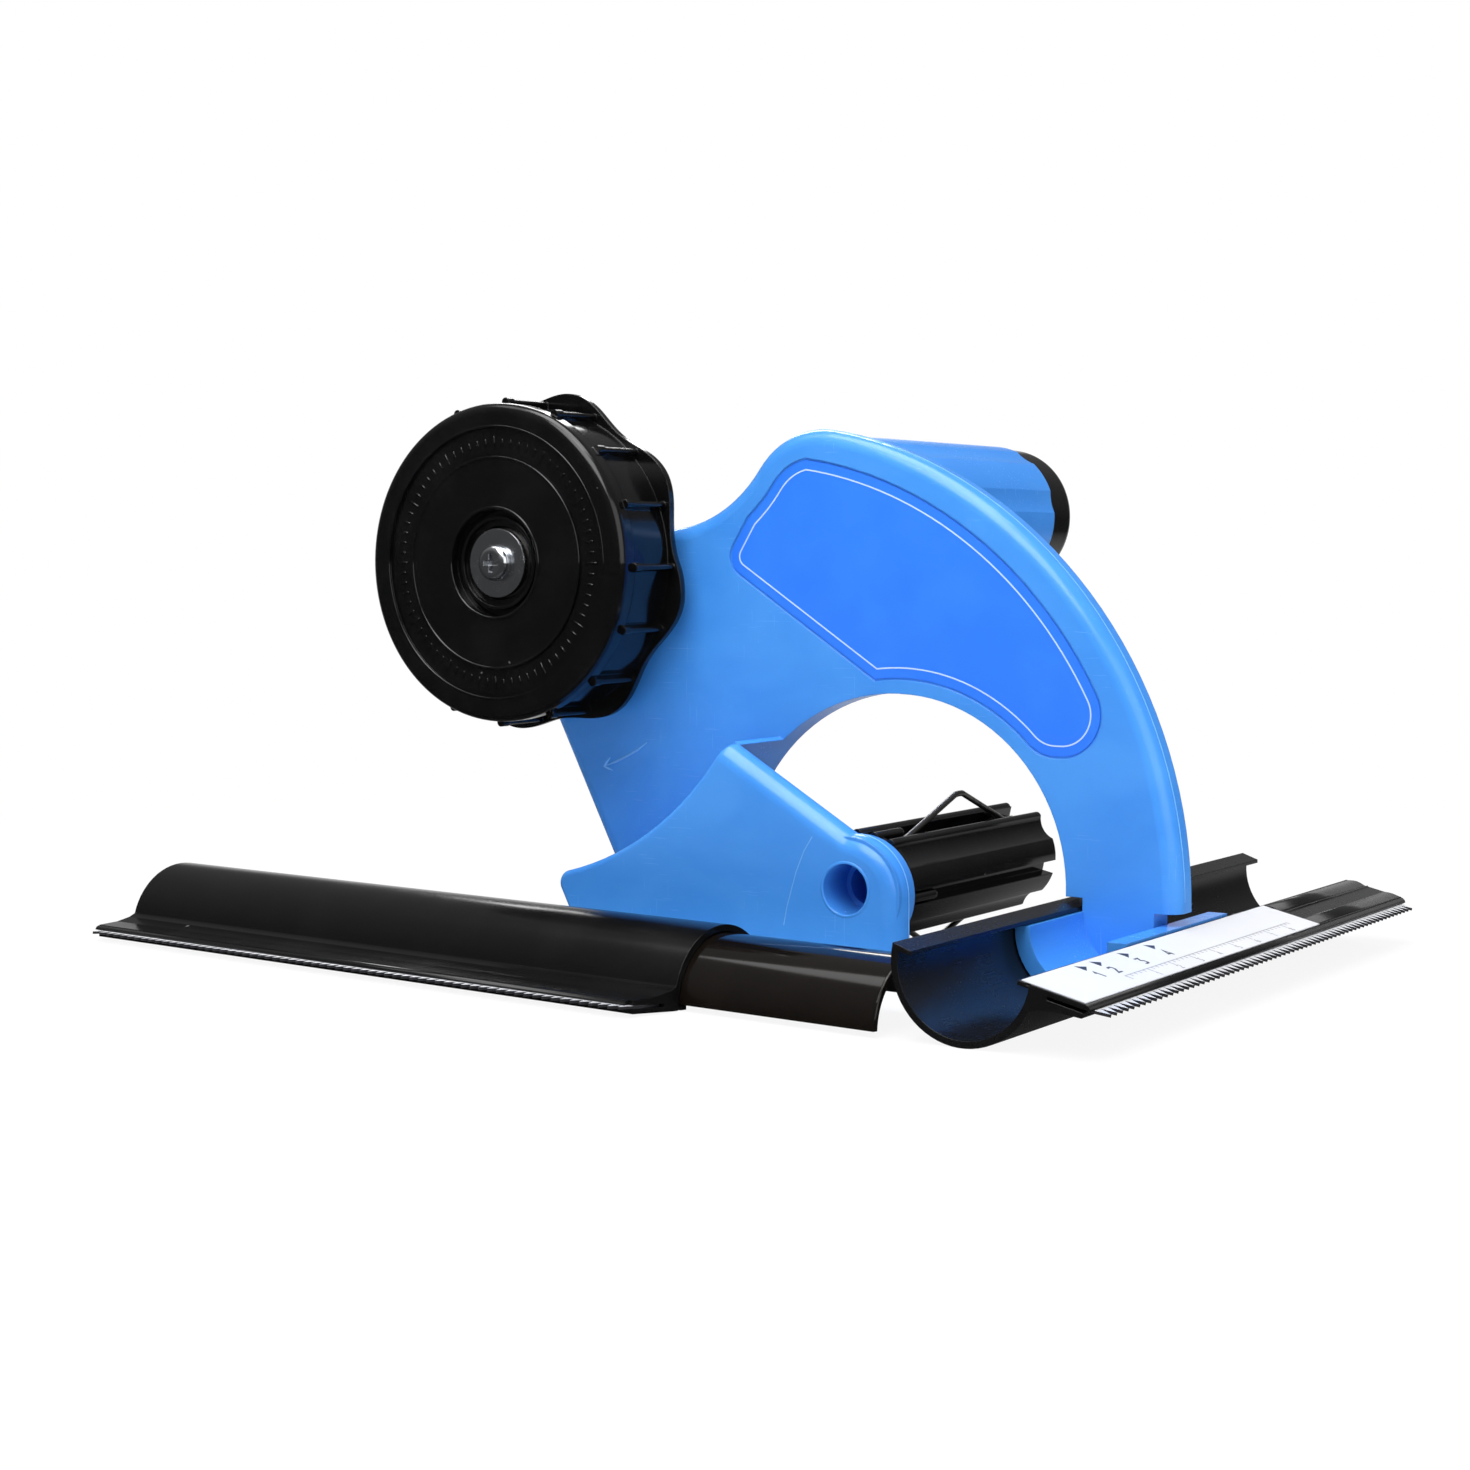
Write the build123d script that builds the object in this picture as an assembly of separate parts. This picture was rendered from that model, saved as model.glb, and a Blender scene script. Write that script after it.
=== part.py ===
from build123d import *
import math
import os

# A hand dispenser for masking tape and paper. X runs along the frame plate, Y away from the
# paper side to the handle side, Z up. The origin is on the paper spindle's axis, at the front
# face of the bracket. All lengths are in millimetres.

# Fits shared by all pieces
running_fit = 0.08
moving_gap = 0.3
cut_overrun = 5.0
quarter_turn = 90
half_turn = 180

# Frame plate
plate_front_y = 23.3
plate_depth = 7.1
plate_skin = 2.6
plate_wall = 2.4
plate_edge_round = 3.6
opening_r = 41.0
flare_r = 44.2
flare_angle = 80.0
tape_x = -93.0
tape_z = 69.8
tape_end_x = -94.5
tape_end_z = 68.7
tape_end_r = 18.0
handle_x = -22.25
handle_z = 81.2
lobe_x = -22.25
lobe_z = 80.2
lobe_r = 19.6
waist_r = 33.0
outer_arc_x = -37.2
outer_arc_z = -2.8
left_foot_x = -68.9
leg_foot_z = -3.3
rib_thick = 1.8
rib_angles = (105, 70, 150)
rib_spoke_angles = (50, 30, 12)
rib_foot_angle = -60
bracket_spoke_angles = (180, 215)

# Bracket that carries the paper spindle
bracket_rim_depth = 5.0
bracket_edge_round = 1.3
bracket_slant_round = 4.2
bracket_curve_r = 73.1
bracket_tip_round = 3.0
slant_angle = 30.5
slant_reach = 10.2
slant_blend = 3.0
boss_r = 13.1
boss_drop = 1.4
boss_depth = 8.0
boss_step = 0.4
axle_r = 6.6
axle_end_y = 76.0
peg_hole_r = 5.5
peg_hole_depth = 10.0
axle_core_r = 4.4
axle_end_solid = 13.0

# Sticker on the arch
label_margin = 6.6
label_recess = 0.5
label_thick = 0.3
label_gap = 0.5
label_inner_r = 44.6
label_cut_x = -43.1
label_cut_z = 68.0
label_cut_angle = 33.0
label_foot_z = 28.8
label_side_x = -45.4
label_side_z = 71.0
label_side_angle = 58.6
label_end_round = 9.0
label_foot_pinch = 1.6
label_foot_angle = 17.7
label_corner_round = 4.5

# Blade trough, the same section for the blade and its extension
trough_x = 55.5
trough_z = -5.0
trough_r = 15.4
trough_wall = 1.4
lip_reach = 3.9
lip_height = 3.4
lip_droop = 1.4
lip_root_thick = 1.7
lip_tip_thick = 0.8
flange_width = 13.9
flange_thick = 2.8
flange_tilt = 13.3
flange_inner_x = 11.5
flange_inner_z = -1.4
flange_hook_thick = 0.9
flange_under_shares = ((1.0, 1.0), (0.62, 1.18), (0.36, 1.5), (0.24, 1.8))
edge_round = 0.5
blade_length = 174.2
blade_near_y = -50.5
slot_thick = 0.7
slot_depth = 7.5
groove_along = 2.2
groove_width = 0.8
groove_depth = 0.35

# Toothed steel strip
steel_thick = 0.6
tooth_height = 2.8
tooth_pitch = 2.54
tooth_root_reach = 1.4
steel_end_gap = 1.2

# White sticker on the flange
blade_label_length = 119.0
blade_label_thick = 0.2
blade_label_inset = 0.5

# Saddle that the blade slides on
saddle_near_y = -2.0
saddle_far_y = 50.0
saddle_thick = 3.4
saddle_gap = 0.25
bar_width = 4.3
bar_top_z = -5.9
bar_foot_z = -14.5
foot_notch_x = 61.3

# Loose extension and its joining sleeve
extension_length = 171.0
extension_right_x = -9.8
extension_crest_y = -33.2
extension_turn = -5.2
extension_chamfer = 9.7
extension_chamfer_angle = 14.0
sleeve_length = 96.0
sleeve_reach = 48.0
sleeve_wall = 1.3
sleeve_gap = 0.25
sleeve_lip_angle = 186.0
sleeve_flange_angle = 347.0

# Tape hub
disc_r = 36.9
disc_front_y = -3.5
disc_depth = 5.1
disc_skin = 2.4
rim_round = 2.2
rim_inner_r = 31.5
rim_rise = 0.5
step_r = 24.4
step_depth = 0.4
drum_r = 36.0
drum_wall = 2.0
hub_back_y = 18.7
flange_lobe_thick = 2.9
flange_lobe_round = 1.6
flange_mid_r = 38.9
flange_lobe_swing = 1.65
flange_lobes = 8
flange_lobe_turn = 31.0
flange_lobe_points = 6
tape_rib_count = 16
tape_rib_turn = -1.5
tape_rib_r = 0.75
tape_rib_centre_r = 37.2
tape_bead_r = 1.05
tape_bead_length = 2.4
tape_bead_lap = 1.1
hub_recess_r = 12.8
hub_recess_depth = 2.6
hub_ring_r = 10.9
hub_ring_width = 0.9
hub_ring_rise = 1.2
hub_pocket_r = 8.6
hub_sleeve_r = 9.6
hub_web_count = 8
hub_web_thick = 1.5

# Tape post, its insert and the drag stack
post_r = 5.0
post_front_y = -0.6
post_pad_r = 15.0
post_pad_rise = 1.8
insert_r = 3.2
insert_length = 12.0
insert_flange_thick = 0.8
insert_flange_r = 4.2
screw_r = 2.0
screw_length = 13.0
screw_head_r = 4.2
screw_head_height = 2.4
screw_recess_r = 2.1
screw_recess_width = 1.0
screw_recess_depth = 1.4
screw_crown_share = 0.6
washer_r = 8.0
washer_thick = 1.2
friction_disc_r = 13.0
friction_disc_gap = 0.1
spring_disc_thick = 0.6
spring_disc_slack = 0.04
spring_disc_rise = 1.2

# Paper spindle
spindle_r = 11.4
spindle_far_y = 79.0
spindle_slot_turn = 78.0
spring_slot_width = 5.6
plain_slot_width = 3.2
slot_floor_r = 8.5
ridge_r = 1.25
ridge_centre_r = 11.15
ridge_angle = 22.0
spindle_rim_r = 11.0
scoop_r = 5.0
scoop_depth = 1.1
scoop_angle = 42.0
nub_length = 11.4
nub_width = 2.2
nub_r = 12.0
spindle_washer_r = 7.6
spindle_washer_thick = 1.2
spindle_screw_r = 1.9
spindle_screw_length = 11.0
spindle_head_r = 4.2
spindle_head_height = 2.4

# Wire springs of the paper spindle
wire_r = 0.7
spring_apex_r = 17.8
spring_near_y = 21.0
spring_apex_y = 44.5
spring_apex_flat = 3.0
spring_bend_y = 70.5
spring_tail = 4.5
spring_bend_round = 2.0

# Handle
handle_r = 17.7
handle_far_y = 109.4
handle_wall = 2.6
handle_groove_count = 8
handle_groove_r = 12.0
handle_groove_depth = 0.55
handle_groove_turn = 12.0
handle_socket_depth = 14.0
handle_socket_wall = 2.6
handle_core_r = 6.4
handle_web_thick = 3.0
handle_web_inset = 9.0
handle_bolt_r = 3.0
handle_bolt_grip = 14.0
handle_head_r = 5.5
handle_head_height = 4.0
handle_washer_r = 7.5
handle_washer_thick = 1.4
handle_insert_r = 4.6
handle_insert_length = 12.0
cap_r = 17.1
cap_rise = 13.6
cap_round = 4.5
cap_plug_depth = 6.0
cap_plug_wall = 2.0
cap_plug_gap = 0.1

# Places worked out from the sizes above
plate_back_y = plate_front_y + plate_depth
floor_z = trough_z - trough_r
pad_front_y = plate_front_y - post_pad_rise
spindle_near_y = boss_depth + moving_gap
saddle_r = trough_r - trough_wall - saddle_gap
lip_under_z = trough_z + lip_height - lip_droop - lip_tip_thick
grip_bore_r = handle_r - handle_wall
socket_outer_r = grip_bore_r - running_fit
socket_inner_r = socket_outer_r - handle_socket_wall
socket_far_y = plate_back_y + handle_socket_depth
spring_seat_y = post_front_y + spring_disc_thick + spring_disc_rise
disc_back_y = disc_front_y + disc_depth
bead_front_y = disc_back_y - tape_bead_lap


def point_at(centre, radius, angle):
    """A point on a circle in the X-Z plane, with the angle in degrees from +X to +Z."""
    turn = math.radians(angle)
    return (centre[0] + radius * math.cos(turn), centre[1] + radius * math.sin(turn))


def angle_to(centre, point):
    return math.degrees(math.atan2(point[1] - centre[1], point[0] - centre[0]))


def towards(start, end, reach):
    """The point at a distance from start, on the line to end."""
    length = math.dist(start, end)
    return (start[0] + (end[0] - start[0]) * reach / length,
            start[1] + (end[1] - start[1]) * reach / length)


def circles_meet(centre_a, radius_a, centre_b, radius_b):
    """The upper of the two points where two circles cross."""
    gap = math.dist(centre_a, centre_b)
    along = (radius_a**2 - radius_b**2 + gap**2) / (2 * gap)
    rise = math.sqrt(radius_a**2 - along**2)
    foot = towards(centre_a, centre_b, along)
    ux, uz = (centre_b[0] - centre_a[0]) / gap, (centre_b[1] - centre_a[1]) / gap
    return (foot[0] - uz * rise, foot[1] + ux * rise)


def slab(sketch, y_from, y_to):
    """A sketch of the X-Z plane, made solid from one Y to another."""
    placed = Plane.XZ.offset(-y_from) * sketch
    return extrude(placed, amount=y_to - y_from, dir=(0, 1, 0))


def rod(centre, radius, y_from, y_to, end_radius=None):
    """A round bar or cone along Y."""
    length = y_to - y_from
    middle = Pos(centre[0], (y_from + y_to) / 2, centre[1]) * Rot(-90, 0, 0)
    if end_radius is None:
        return middle * Cylinder(radius, length)
    return middle * Cone(radius, end_radius, length)


def block(x_from, x_to, y_from, y_to, z_from, z_to):
    size = (x_to - x_from, y_to - y_from, z_to - z_from)
    centre = Pos((x_from + x_to) / 2, (y_from + y_to) / 2, (z_from + z_to) / 2)
    return centre * Box(*size)


def disc2d(centre, radius):
    return Pos(*centre) * Circle(radius)


def rect2d(x_from, x_to, z_from, z_to):
    return Pos((x_from + x_to) / 2, (z_from + z_to) / 2) * Rectangle(x_to - x_from, z_to - z_from)


def edges_at_y(solid, y, length_over=0.0):
    """The edges that lie in the plane of one Y."""
    def flat(edge):
        low, high = edge.bounding_box().min.Y, edge.bounding_box().max.Y
        return abs(low - y) < running_fit and abs(high - y) < running_fit
    return [edge for edge in solid.edges() if flat(edge) and edge.length > length_over]


# Frame outline

origin = (0, 0)
trough_axis = (trough_x, trough_z)
tape_axis = (tape_x, tape_z)
tape_end = (tape_end_x, tape_end_z)
handle_axis = (handle_x, handle_z)
lobe_centre = (lobe_x, lobe_z)
outer_centre = (outer_arc_x, outer_arc_z)
boss_centre = (0, -boss_drop)
outer_r = math.dist(outer_centre, lobe_centre) + lobe_r
waist_centre = circles_meet(tape_end, tape_end_r + waist_r, lobe_centre, lobe_r + waist_r)
left_foot = (left_foot_x, floor_z)


def left_edge_top():
    """Where the straight left edge runs into the round end behind the tape hub."""
    reach = math.dist(left_foot, tape_end)
    spread = math.degrees(math.asin(tape_end_r / reach))
    heading = angle_to(left_foot, tape_end) + spread
    return point_at(left_foot, math.sqrt(reach**2 - tape_end_r**2), heading)


def arc_between(centre, start, end, sign):
    """An arc about a centre, from start to end, turning up (+1) or down (-1) in angle."""
    first, last = angle_to(centre, start), angle_to(centre, end)
    while sign * (last - first) <= 0:
        last += sign * 360
    middle = point_at(centre, math.dist(centre, start), (first + last) / 2)
    return ThreePointArc(start, middle, end)


def filled(lines):
    """The flat face inside closed lines, with its front upwards."""
    face = make_face(Curve() + lines).face()
    return face if face.normal_at().Z > 0 else -face


def plate_outline():
    """The whole outside of the plate, as if the arch had no opening."""
    edge_top = left_edge_top()
    tape_waist = towards(tape_end, waist_centre, tape_end_r)
    lobe_waist = towards(lobe_centre, waist_centre, lobe_r)
    lobe_outer = towards(outer_centre, lobe_centre, outer_r)
    leg_x = outer_arc_x + math.sqrt(outer_r**2 - (leg_foot_z - outer_arc_z) ** 2)
    leg_foot = (leg_x, leg_foot_z)
    lines = [
        Line(left_foot, edge_top),
        arc_between(tape_end, edge_top, tape_waist, -1),
        arc_between(waist_centre, tape_waist, lobe_waist, 1),
        arc_between(lobe_centre, lobe_waist, lobe_outer, -1),
        arc_between(outer_centre, lobe_outer, leg_foot, -1),
        Line(leg_foot, (0, leg_foot_z)),
        Line((0, leg_foot_z), (0, floor_z)),
        Line((0, floor_z), left_foot),
    ]
    return filled(lines)


def opening2d():
    """The arch's opening: round, and a little wider towards the bracket."""
    middle = point_at(origin, opening_r - flare_r, flare_angle)
    bracket_side = rect2d(-2 * flare_r, 0, -2 * flare_r, 2 * flare_r)
    return disc2d(origin, opening_r) + (disc2d(middle, flare_r) & bracket_side)


def bracket_outline():
    """The raised panel: a curve about the tape, a slant, and a round boss on the axis."""
    edge_top = left_edge_top()
    edge_angle = angle_to(left_foot, edge_top)
    chord = math.dist(left_foot, tape_axis)
    lean = math.radians(angle_to(left_foot, tape_axis) - edge_angle)
    reach = chord * math.cos(lean) - math.sqrt(bracket_curve_r**2 - (chord * math.sin(lean)) ** 2)
    tip = point_at(left_foot, reach, edge_angle)
    nearest = point_at(origin, slant_reach, 90 - slant_angle)
    apex = line_meets(nearest, 180 - slant_angle, tape_axis, bracket_curve_r, -1)
    boss_top = line_meets(nearest, 180 - slant_angle, boss_centre, boss_r, 1)
    side_top = (boss_r, boss_centre[1])
    lines = [
        Line(left_foot, tip),
        arc_between(tape_axis, tip, apex, 1),
        Line(apex, boss_top),
        arc_between(boss_centre, boss_top, side_top, -1),
        Line(side_top, (boss_r, floor_z)),
        Line((boss_r, floor_z), left_foot),
    ]
    panel = round_corner(filled(lines), tip, bracket_tip_round)
    return round_corner(panel, boss_top, slant_blend)


def line_meets(start, heading, centre, radius, side):
    """Where a line from a point crosses a circle: the first place (-1) or the last (+1)."""
    ax, az = start[0] - centre[0], start[1] - centre[1]
    dx, dz = math.cos(math.radians(heading)), math.sin(math.radians(heading))
    half = ax * dx + az * dz
    run = -half + side * math.sqrt(half**2 - (ax**2 + az**2 - radius**2))
    return point_at(start, run, heading)


def round_corner(sheet, corner, radius):
    """A flat face with the corner nearest to a point rounded."""
    found = min(sheet.vertices(), key=lambda vertex: math.dist((vertex.X, vertex.Y), corner))
    return fillet([found], radius)


def half_plane(point, heading, side):
    """A big sheet to one side (+1 left, -1 right) of a line through a point."""
    size = outer_r * 3
    return Pos(*point) * Rot(0, 0, heading) * Pos(0, side * size / 2) * Rectangle(size, size)


def sticker_shape(grow):
    """The arch sticker's outline, grown all round for the recess that holds it."""
    sheet = offset(plate_outline(), amount=grow - label_margin)
    pinched = point_at(outer_centre, -label_foot_pinch, label_foot_angle)
    sheet &= disc2d(pinched, outer_r - label_margin + grow)
    sheet -= disc2d(origin, label_inner_r - grow)
    below = point_at((label_cut_x, label_cut_z), grow, -90 - label_cut_angle)
    sheet -= half_plane(below, -label_cut_angle, -1)
    aside = point_at((label_side_x, label_side_z), grow, 90 + label_side_angle)
    sheet -= half_plane(aside, label_side_angle, 1)
    sheet -= half_plane((0, label_foot_z - grow), 0, -1)
    sheet = Sketch() + max(sheet.faces(), key=lambda face: face.area)
    foot = sheet.vertices().sort_by(Axis.Y)[:2]
    sheet = fillet(foot, label_end_round + grow)
    side = Line(aside, point_at(aside, outer_r, label_side_angle))
    side += Line(aside, point_at(aside, -outer_r, label_side_angle))
    corners = [corner for corner in sheet.vertices() if side.distance_to(corner) < running_fit]
    return fillet(corners, label_corner_round + grow)


# Frame, which carries everything

def saddle_section():
    """The curved lining that the trough slides on, with its bar along the flange."""
    lining = disc2d(trough_axis, saddle_r) - disc2d(trough_axis, saddle_r - saddle_thick)
    lip_side = rect2d(trough_x - trough_r, trough_x, floor_z, lip_under_z - moving_gap)
    hook_z = trough_z + flange_inner_z - flange_hook_thick - flange_thick / 2
    bar_side = rect2d(trough_x, trough_x + trough_r, floor_z, hook_z)
    bar_end = trough_x + flange_inner_x - moving_gap
    bar = rect2d(bar_end - bar_width, bar_end, bar_foot_z, bar_top_z)
    return (lining & (lip_side + bar_side)) + (bar & disc2d(trough_axis, saddle_r))


def leg_tongue():
    """The end of the arch's leg, which reaches down inside the trough."""
    reach = rect2d(trough_x - trough_r, foot_notch_x, floor_z, leg_foot_z + plate_wall)
    return disc2d(trough_axis, saddle_r) & reach


def rib2d(start, end, thick):
    middle = ((start[0] + end[0]) / 2, (start[1] + end[1]) / 2)
    return Pos(*middle) * Rot(0, 0, angle_to(start, end)) * Rectangle(math.dist(start, end), thick)


def plate_ribs():
    """The stiffening ribs and bosses in the open back of the plate."""
    ribs = rib2d(tape_axis, handle_axis, rib_thick)
    for start, angle in zip((handle_axis, handle_axis, tape_axis), rib_angles):
        ribs += rib2d(start, point_at(origin, opening_r, angle), rib_thick)
    ribs += rib2d(tape_axis, point_at(tape_axis, bracket_curve_r, rib_foot_angle), rib_thick)
    for angle in rib_spoke_angles:
        inner = point_at(origin, opening_r, angle)
        ribs += rib2d(inner, point_at(inner, opening_r, angle), rib_thick)
    ribs += disc2d(tape_axis, insert_r + 2 * plate_wall)
    ribs += disc2d(handle_axis, handle_r) - disc2d(handle_axis, socket_inner_r)
    return ribs + disc2d(handle_axis, handle_core_r)


def plate_blank():
    """The plate with its rounded front edge, before the arch is opened."""
    outline = plate_outline()
    blank = slab(outline, plate_front_y, plate_back_y)
    front = []
    for edge in edges_at_y(blank, plate_front_y):
        middle = edge @ 0.5
        on_cut = middle.Z <= leg_foot_z + running_fit and middle.X > left_foot_x + plate_wall
        if not on_cut:
            front.append(edge)
    return fillet(front, plate_edge_round)


def panel_edges(panel, on_slant):
    """The panel's front edges: those of the slant and boss, or the curve and the left edge."""
    chosen = []
    for edge in edges_at_y(panel, 0, bracket_edge_round):
        middle = edge @ 0.5
        left = math.dist((middle.X, middle.Z), tape_axis) < bracket_curve_r + running_fit
        left = left or middle.X < left_foot_x + bracket_tip_round
        if middle.Z > floor_z + running_fit and left != on_slant:
            chosen.append(edge)
    return chosen


def bracket_blank():
    """The raised panel and the web that joins it to the plate round the arch's opening."""
    outline = Sketch() + bracket_outline()
    panel = slab(outline, 0, bracket_rim_depth)
    panel = fillet(panel_edges(panel, True), bracket_slant_round)
    panel = fillet(panel_edges(panel, False), bracket_edge_round)
    body = slab(outline, bracket_rim_depth, plate_back_y)
    return panel + (body - slab(opening2d(), bracket_rim_depth, plate_back_y + cut_overrun))


def bracket_pockets():
    outline = Sketch() + bracket_outline()
    inside = offset(outline, amount=-plate_wall)
    box = offset(outline - opening2d(), amount=-plate_wall)
    hollow = slab(box, plate_skin, plate_back_y + cut_overrun)
    behind = (inside & opening2d()) - disc2d(boss_centre, boss_r)
    for angle in bracket_spoke_angles:
        behind -= rib2d(origin, point_at(origin, 2 * opening_r, angle), rib_thick)
    return hollow + slab(behind, plate_skin, bracket_rim_depth + cut_overrun)


def frame_shell():
    outline = Sketch() + plate_outline()
    opening = opening2d()
    frame = plate_blank() - slab(opening, 0, plate_back_y + cut_overrun)
    frame += bracket_blank()
    raised = Sketch() + bracket_outline()
    pocket = offset(outline - opening, amount=-plate_wall) - raised - plate_ribs()
    frame -= slab(pocket, plate_front_y + plate_skin, plate_back_y + cut_overrun)
    frame -= bracket_pockets()
    frame += slab(leg_tongue(), plate_front_y, plate_back_y)
    frame += slab(saddle_section(), saddle_near_y, saddle_far_y)
    notch_top = trough_z + lip_height + saddle_gap * 2
    notch_side = trough_x + lip_points()[1][0] + 2 * saddle_gap
    frame -= block(trough_x - trough_r - cut_overrun, notch_side, plate_front_y - cut_overrun,
                   plate_back_y + cut_overrun, lip_under_z - moving_gap, notch_top)
    frame += rod(boss_centre, boss_r - boss_step, plate_skin / 2, boss_depth)
    frame += rod(origin, axle_r, boss_depth, axle_end_y)
    frame -= rod(origin, peg_hole_r, -cut_overrun, peg_hole_depth)
    frame -= rod(origin, axle_core_r, 0, axle_end_y - axle_end_solid)
    frame -= rod(origin, spindle_screw_r + running_fit, axle_end_y - spindle_screw_length,
                 axle_end_y + cut_overrun)
    frame += rod(tape_axis, post_pad_r, pad_front_y, plate_front_y)
    frame += rod(tape_axis, post_r, post_front_y, plate_front_y)
    frame -= rod(tape_axis, insert_r, post_front_y - cut_overrun, post_front_y + insert_length)
    frame -= rod(tape_axis, insert_flange_r, post_front_y - cut_overrun,
                 post_front_y + insert_flange_thick)
    frame -= rod(tape_axis, screw_r + running_fit, post_front_y, post_front_y + screw_length)
    frame += rod(handle_axis, socket_outer_r, plate_back_y, socket_far_y)
    frame -= rod(handle_axis, socket_inner_r, plate_back_y, socket_far_y + cut_overrun)
    frame += rod(handle_axis, handle_core_r, plate_back_y, socket_far_y)
    frame -= rod(handle_axis, handle_insert_r, socket_far_y - handle_insert_length,
                 socket_far_y + cut_overrun)
    frame -= rod(handle_axis, handle_bolt_r + running_fit, socket_far_y - handle_bolt_grip,
                 socket_far_y + cut_overrun)
    recess = slab(sticker_shape(label_gap), plate_front_y - cut_overrun, plate_front_y + label_recess)
    return frame - recess


def main_label():
    back = plate_front_y + label_recess
    return slab(sticker_shape(0), back - label_thick, back)


# Handle

def handle_grip():
    grip = rod(handle_axis, handle_r, plate_back_y, handle_far_y)
    grip -= rod(handle_axis, grip_bore_r, plate_back_y - cut_overrun, handle_far_y + cut_overrun)
    web_far_y = handle_far_y - handle_web_inset
    web = rod(handle_axis, grip_bore_r, web_far_y - handle_web_thick, web_far_y)
    web -= rod(handle_axis, handle_bolt_r + moving_gap, web_far_y - handle_web_thick - cut_overrun,
               web_far_y + cut_overrun)
    grip += web
    reach = handle_r - handle_groove_depth + handle_groove_r
    for step in range(handle_groove_count):
        angle = handle_groove_turn + step * 360 / handle_groove_count
        scoop = point_at(handle_axis, reach, angle)
        grip -= rod(scoop, handle_groove_r, plate_back_y - cut_overrun, handle_far_y + cut_overrun)
    return grip


def handle_end_cap():
    far_y = handle_far_y + cap_rise
    cap = rod(handle_axis, cap_r, handle_far_y, far_y)
    cap = fillet(edges_at_y(cap, far_y), cap_round)
    plug_r = grip_bore_r - cap_plug_gap
    cap += rod(handle_axis, plug_r, handle_far_y - cap_plug_depth, handle_far_y)
    return cap - rod(handle_axis, plug_r - cap_plug_wall, handle_far_y - cap_plug_depth - cut_overrun,
                     handle_far_y + cap_rise - cap_plug_wall - cap_round)


def hex_head(axis, radius, y_from, y_to):
    head = Pos(*axis) * RegularPolygon(radius, 6)
    return slab(Sketch() + head, y_from, y_to)


def handle_bolt():
    seat_y = handle_far_y - handle_web_inset + handle_washer_thick
    bolt = hex_head(handle_axis, handle_head_r, seat_y, seat_y + handle_head_height)
    return bolt + rod(handle_axis, handle_bolt_r, socket_far_y - handle_bolt_grip + moving_gap, seat_y)


def washer(axis, radius, hole_r, y_from, thick):
    ring = rod(axis, radius, y_from, y_from + thick)
    return ring - rod(axis, hole_r, y_from - cut_overrun, y_from + thick + cut_overrun)


def handle_washer():
    seat_y = handle_far_y - handle_web_inset
    return washer(handle_axis, handle_washer_r, handle_bolt_r + moving_gap, seat_y, handle_washer_thick)


def handle_insert():
    start_y = socket_far_y - handle_insert_length
    return washer(handle_axis, handle_insert_r - running_fit, handle_bolt_r + running_fit,
                  start_y, handle_insert_length)


# Tape hub and the drag stack in it

def lobed_flange():
    """The scalloped rear flange: a ring of lobes about the drum."""
    points = []
    steps = flange_lobes * flange_lobe_points
    for step in range(steps):
        angle = step * 360 / steps
        swing = math.cos(math.radians(flange_lobes * (angle - flange_lobe_turn)))
        points.append(point_at(tape_axis, flange_mid_r + flange_lobe_swing * swing, angle))
    outline = Sketch() + filled([Spline(points, periodic=True)])
    flange = slab(outline, hub_back_y - flange_lobe_thick, hub_back_y)
    return fillet(edges_at_y(flange, hub_back_y), flange_lobe_round)


def tape_ribs(shell):
    """The grip ribs along the drum, each with a bead at its front end."""
    for step in range(tape_rib_count):
        angle = tape_rib_turn + step * 360 / tape_rib_count
        centre = point_at(tape_axis, tape_rib_centre_r, angle)
        root = point_at(tape_axis, drum_r - drum_wall / 2, angle)
        bar = slab(rib2d(root, centre, 2 * tape_rib_r), bead_front_y, hub_back_y - flange_lobe_thick)
        shell += bar + rod(centre, tape_rib_r, bead_front_y, hub_back_y - flange_lobe_thick)
        bead = rod(centre, tape_bead_r, bead_front_y, bead_front_y + tape_bead_length)
        shell += bead
    return shell


def hub_drum():
    drum = rod(tape_axis, drum_r, disc_front_y + rim_round, hub_back_y - flange_lobe_round)
    disc = rod(tape_axis, disc_r, disc_front_y, disc_back_y)
    drum += fillet(edges_at_y(disc, disc_front_y), rim_round)
    face_y = disc_front_y + rim_rise
    drum -= rod(tape_axis, rim_inner_r, disc_front_y - cut_overrun, face_y)
    band = disc2d(tape_axis, rim_inner_r) - disc2d(tape_axis, step_r)
    drum -= slab(band, disc_front_y, face_y + step_depth)
    drum += lobed_flange()
    inner_front_y = face_y + step_depth + disc_skin
    hollow = disc2d(tape_axis, drum_r - drum_wall) - disc2d(tape_axis, hub_sleeve_r)
    for step in range(hub_web_count):
        hollow -= rib2d(tape_axis, point_at(tape_axis, disc_r, step * 360 / hub_web_count), hub_web_thick)
    outer_hollow = hollow - disc2d(tape_axis, hub_recess_r + plate_wall)
    drum -= slab(outer_hollow, inner_front_y, hub_back_y + cut_overrun)
    drum -= slab(hollow, inner_front_y + hub_recess_depth, hub_back_y + cut_overrun)
    recess_y = face_y + hub_recess_depth
    drum -= rod(tape_axis, hub_recess_r, disc_front_y - cut_overrun, recess_y)
    ring = disc2d(tape_axis, hub_ring_r) - disc2d(tape_axis, hub_ring_r - hub_ring_width)
    drum += slab(ring, recess_y - hub_ring_rise, recess_y)
    drum -= rod(tape_axis, hub_pocket_r, disc_front_y - cut_overrun, spring_seat_y)
    drum -= rod(tape_axis, post_r + running_fit, 0, hub_back_y + cut_overrun)
    return tape_ribs(drum)


def hub_friction_disc():
    thick = pad_front_y - hub_back_y - friction_disc_gap
    return washer(tape_axis, friction_disc_r, post_r + running_fit, pad_front_y - thick, thick)


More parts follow.
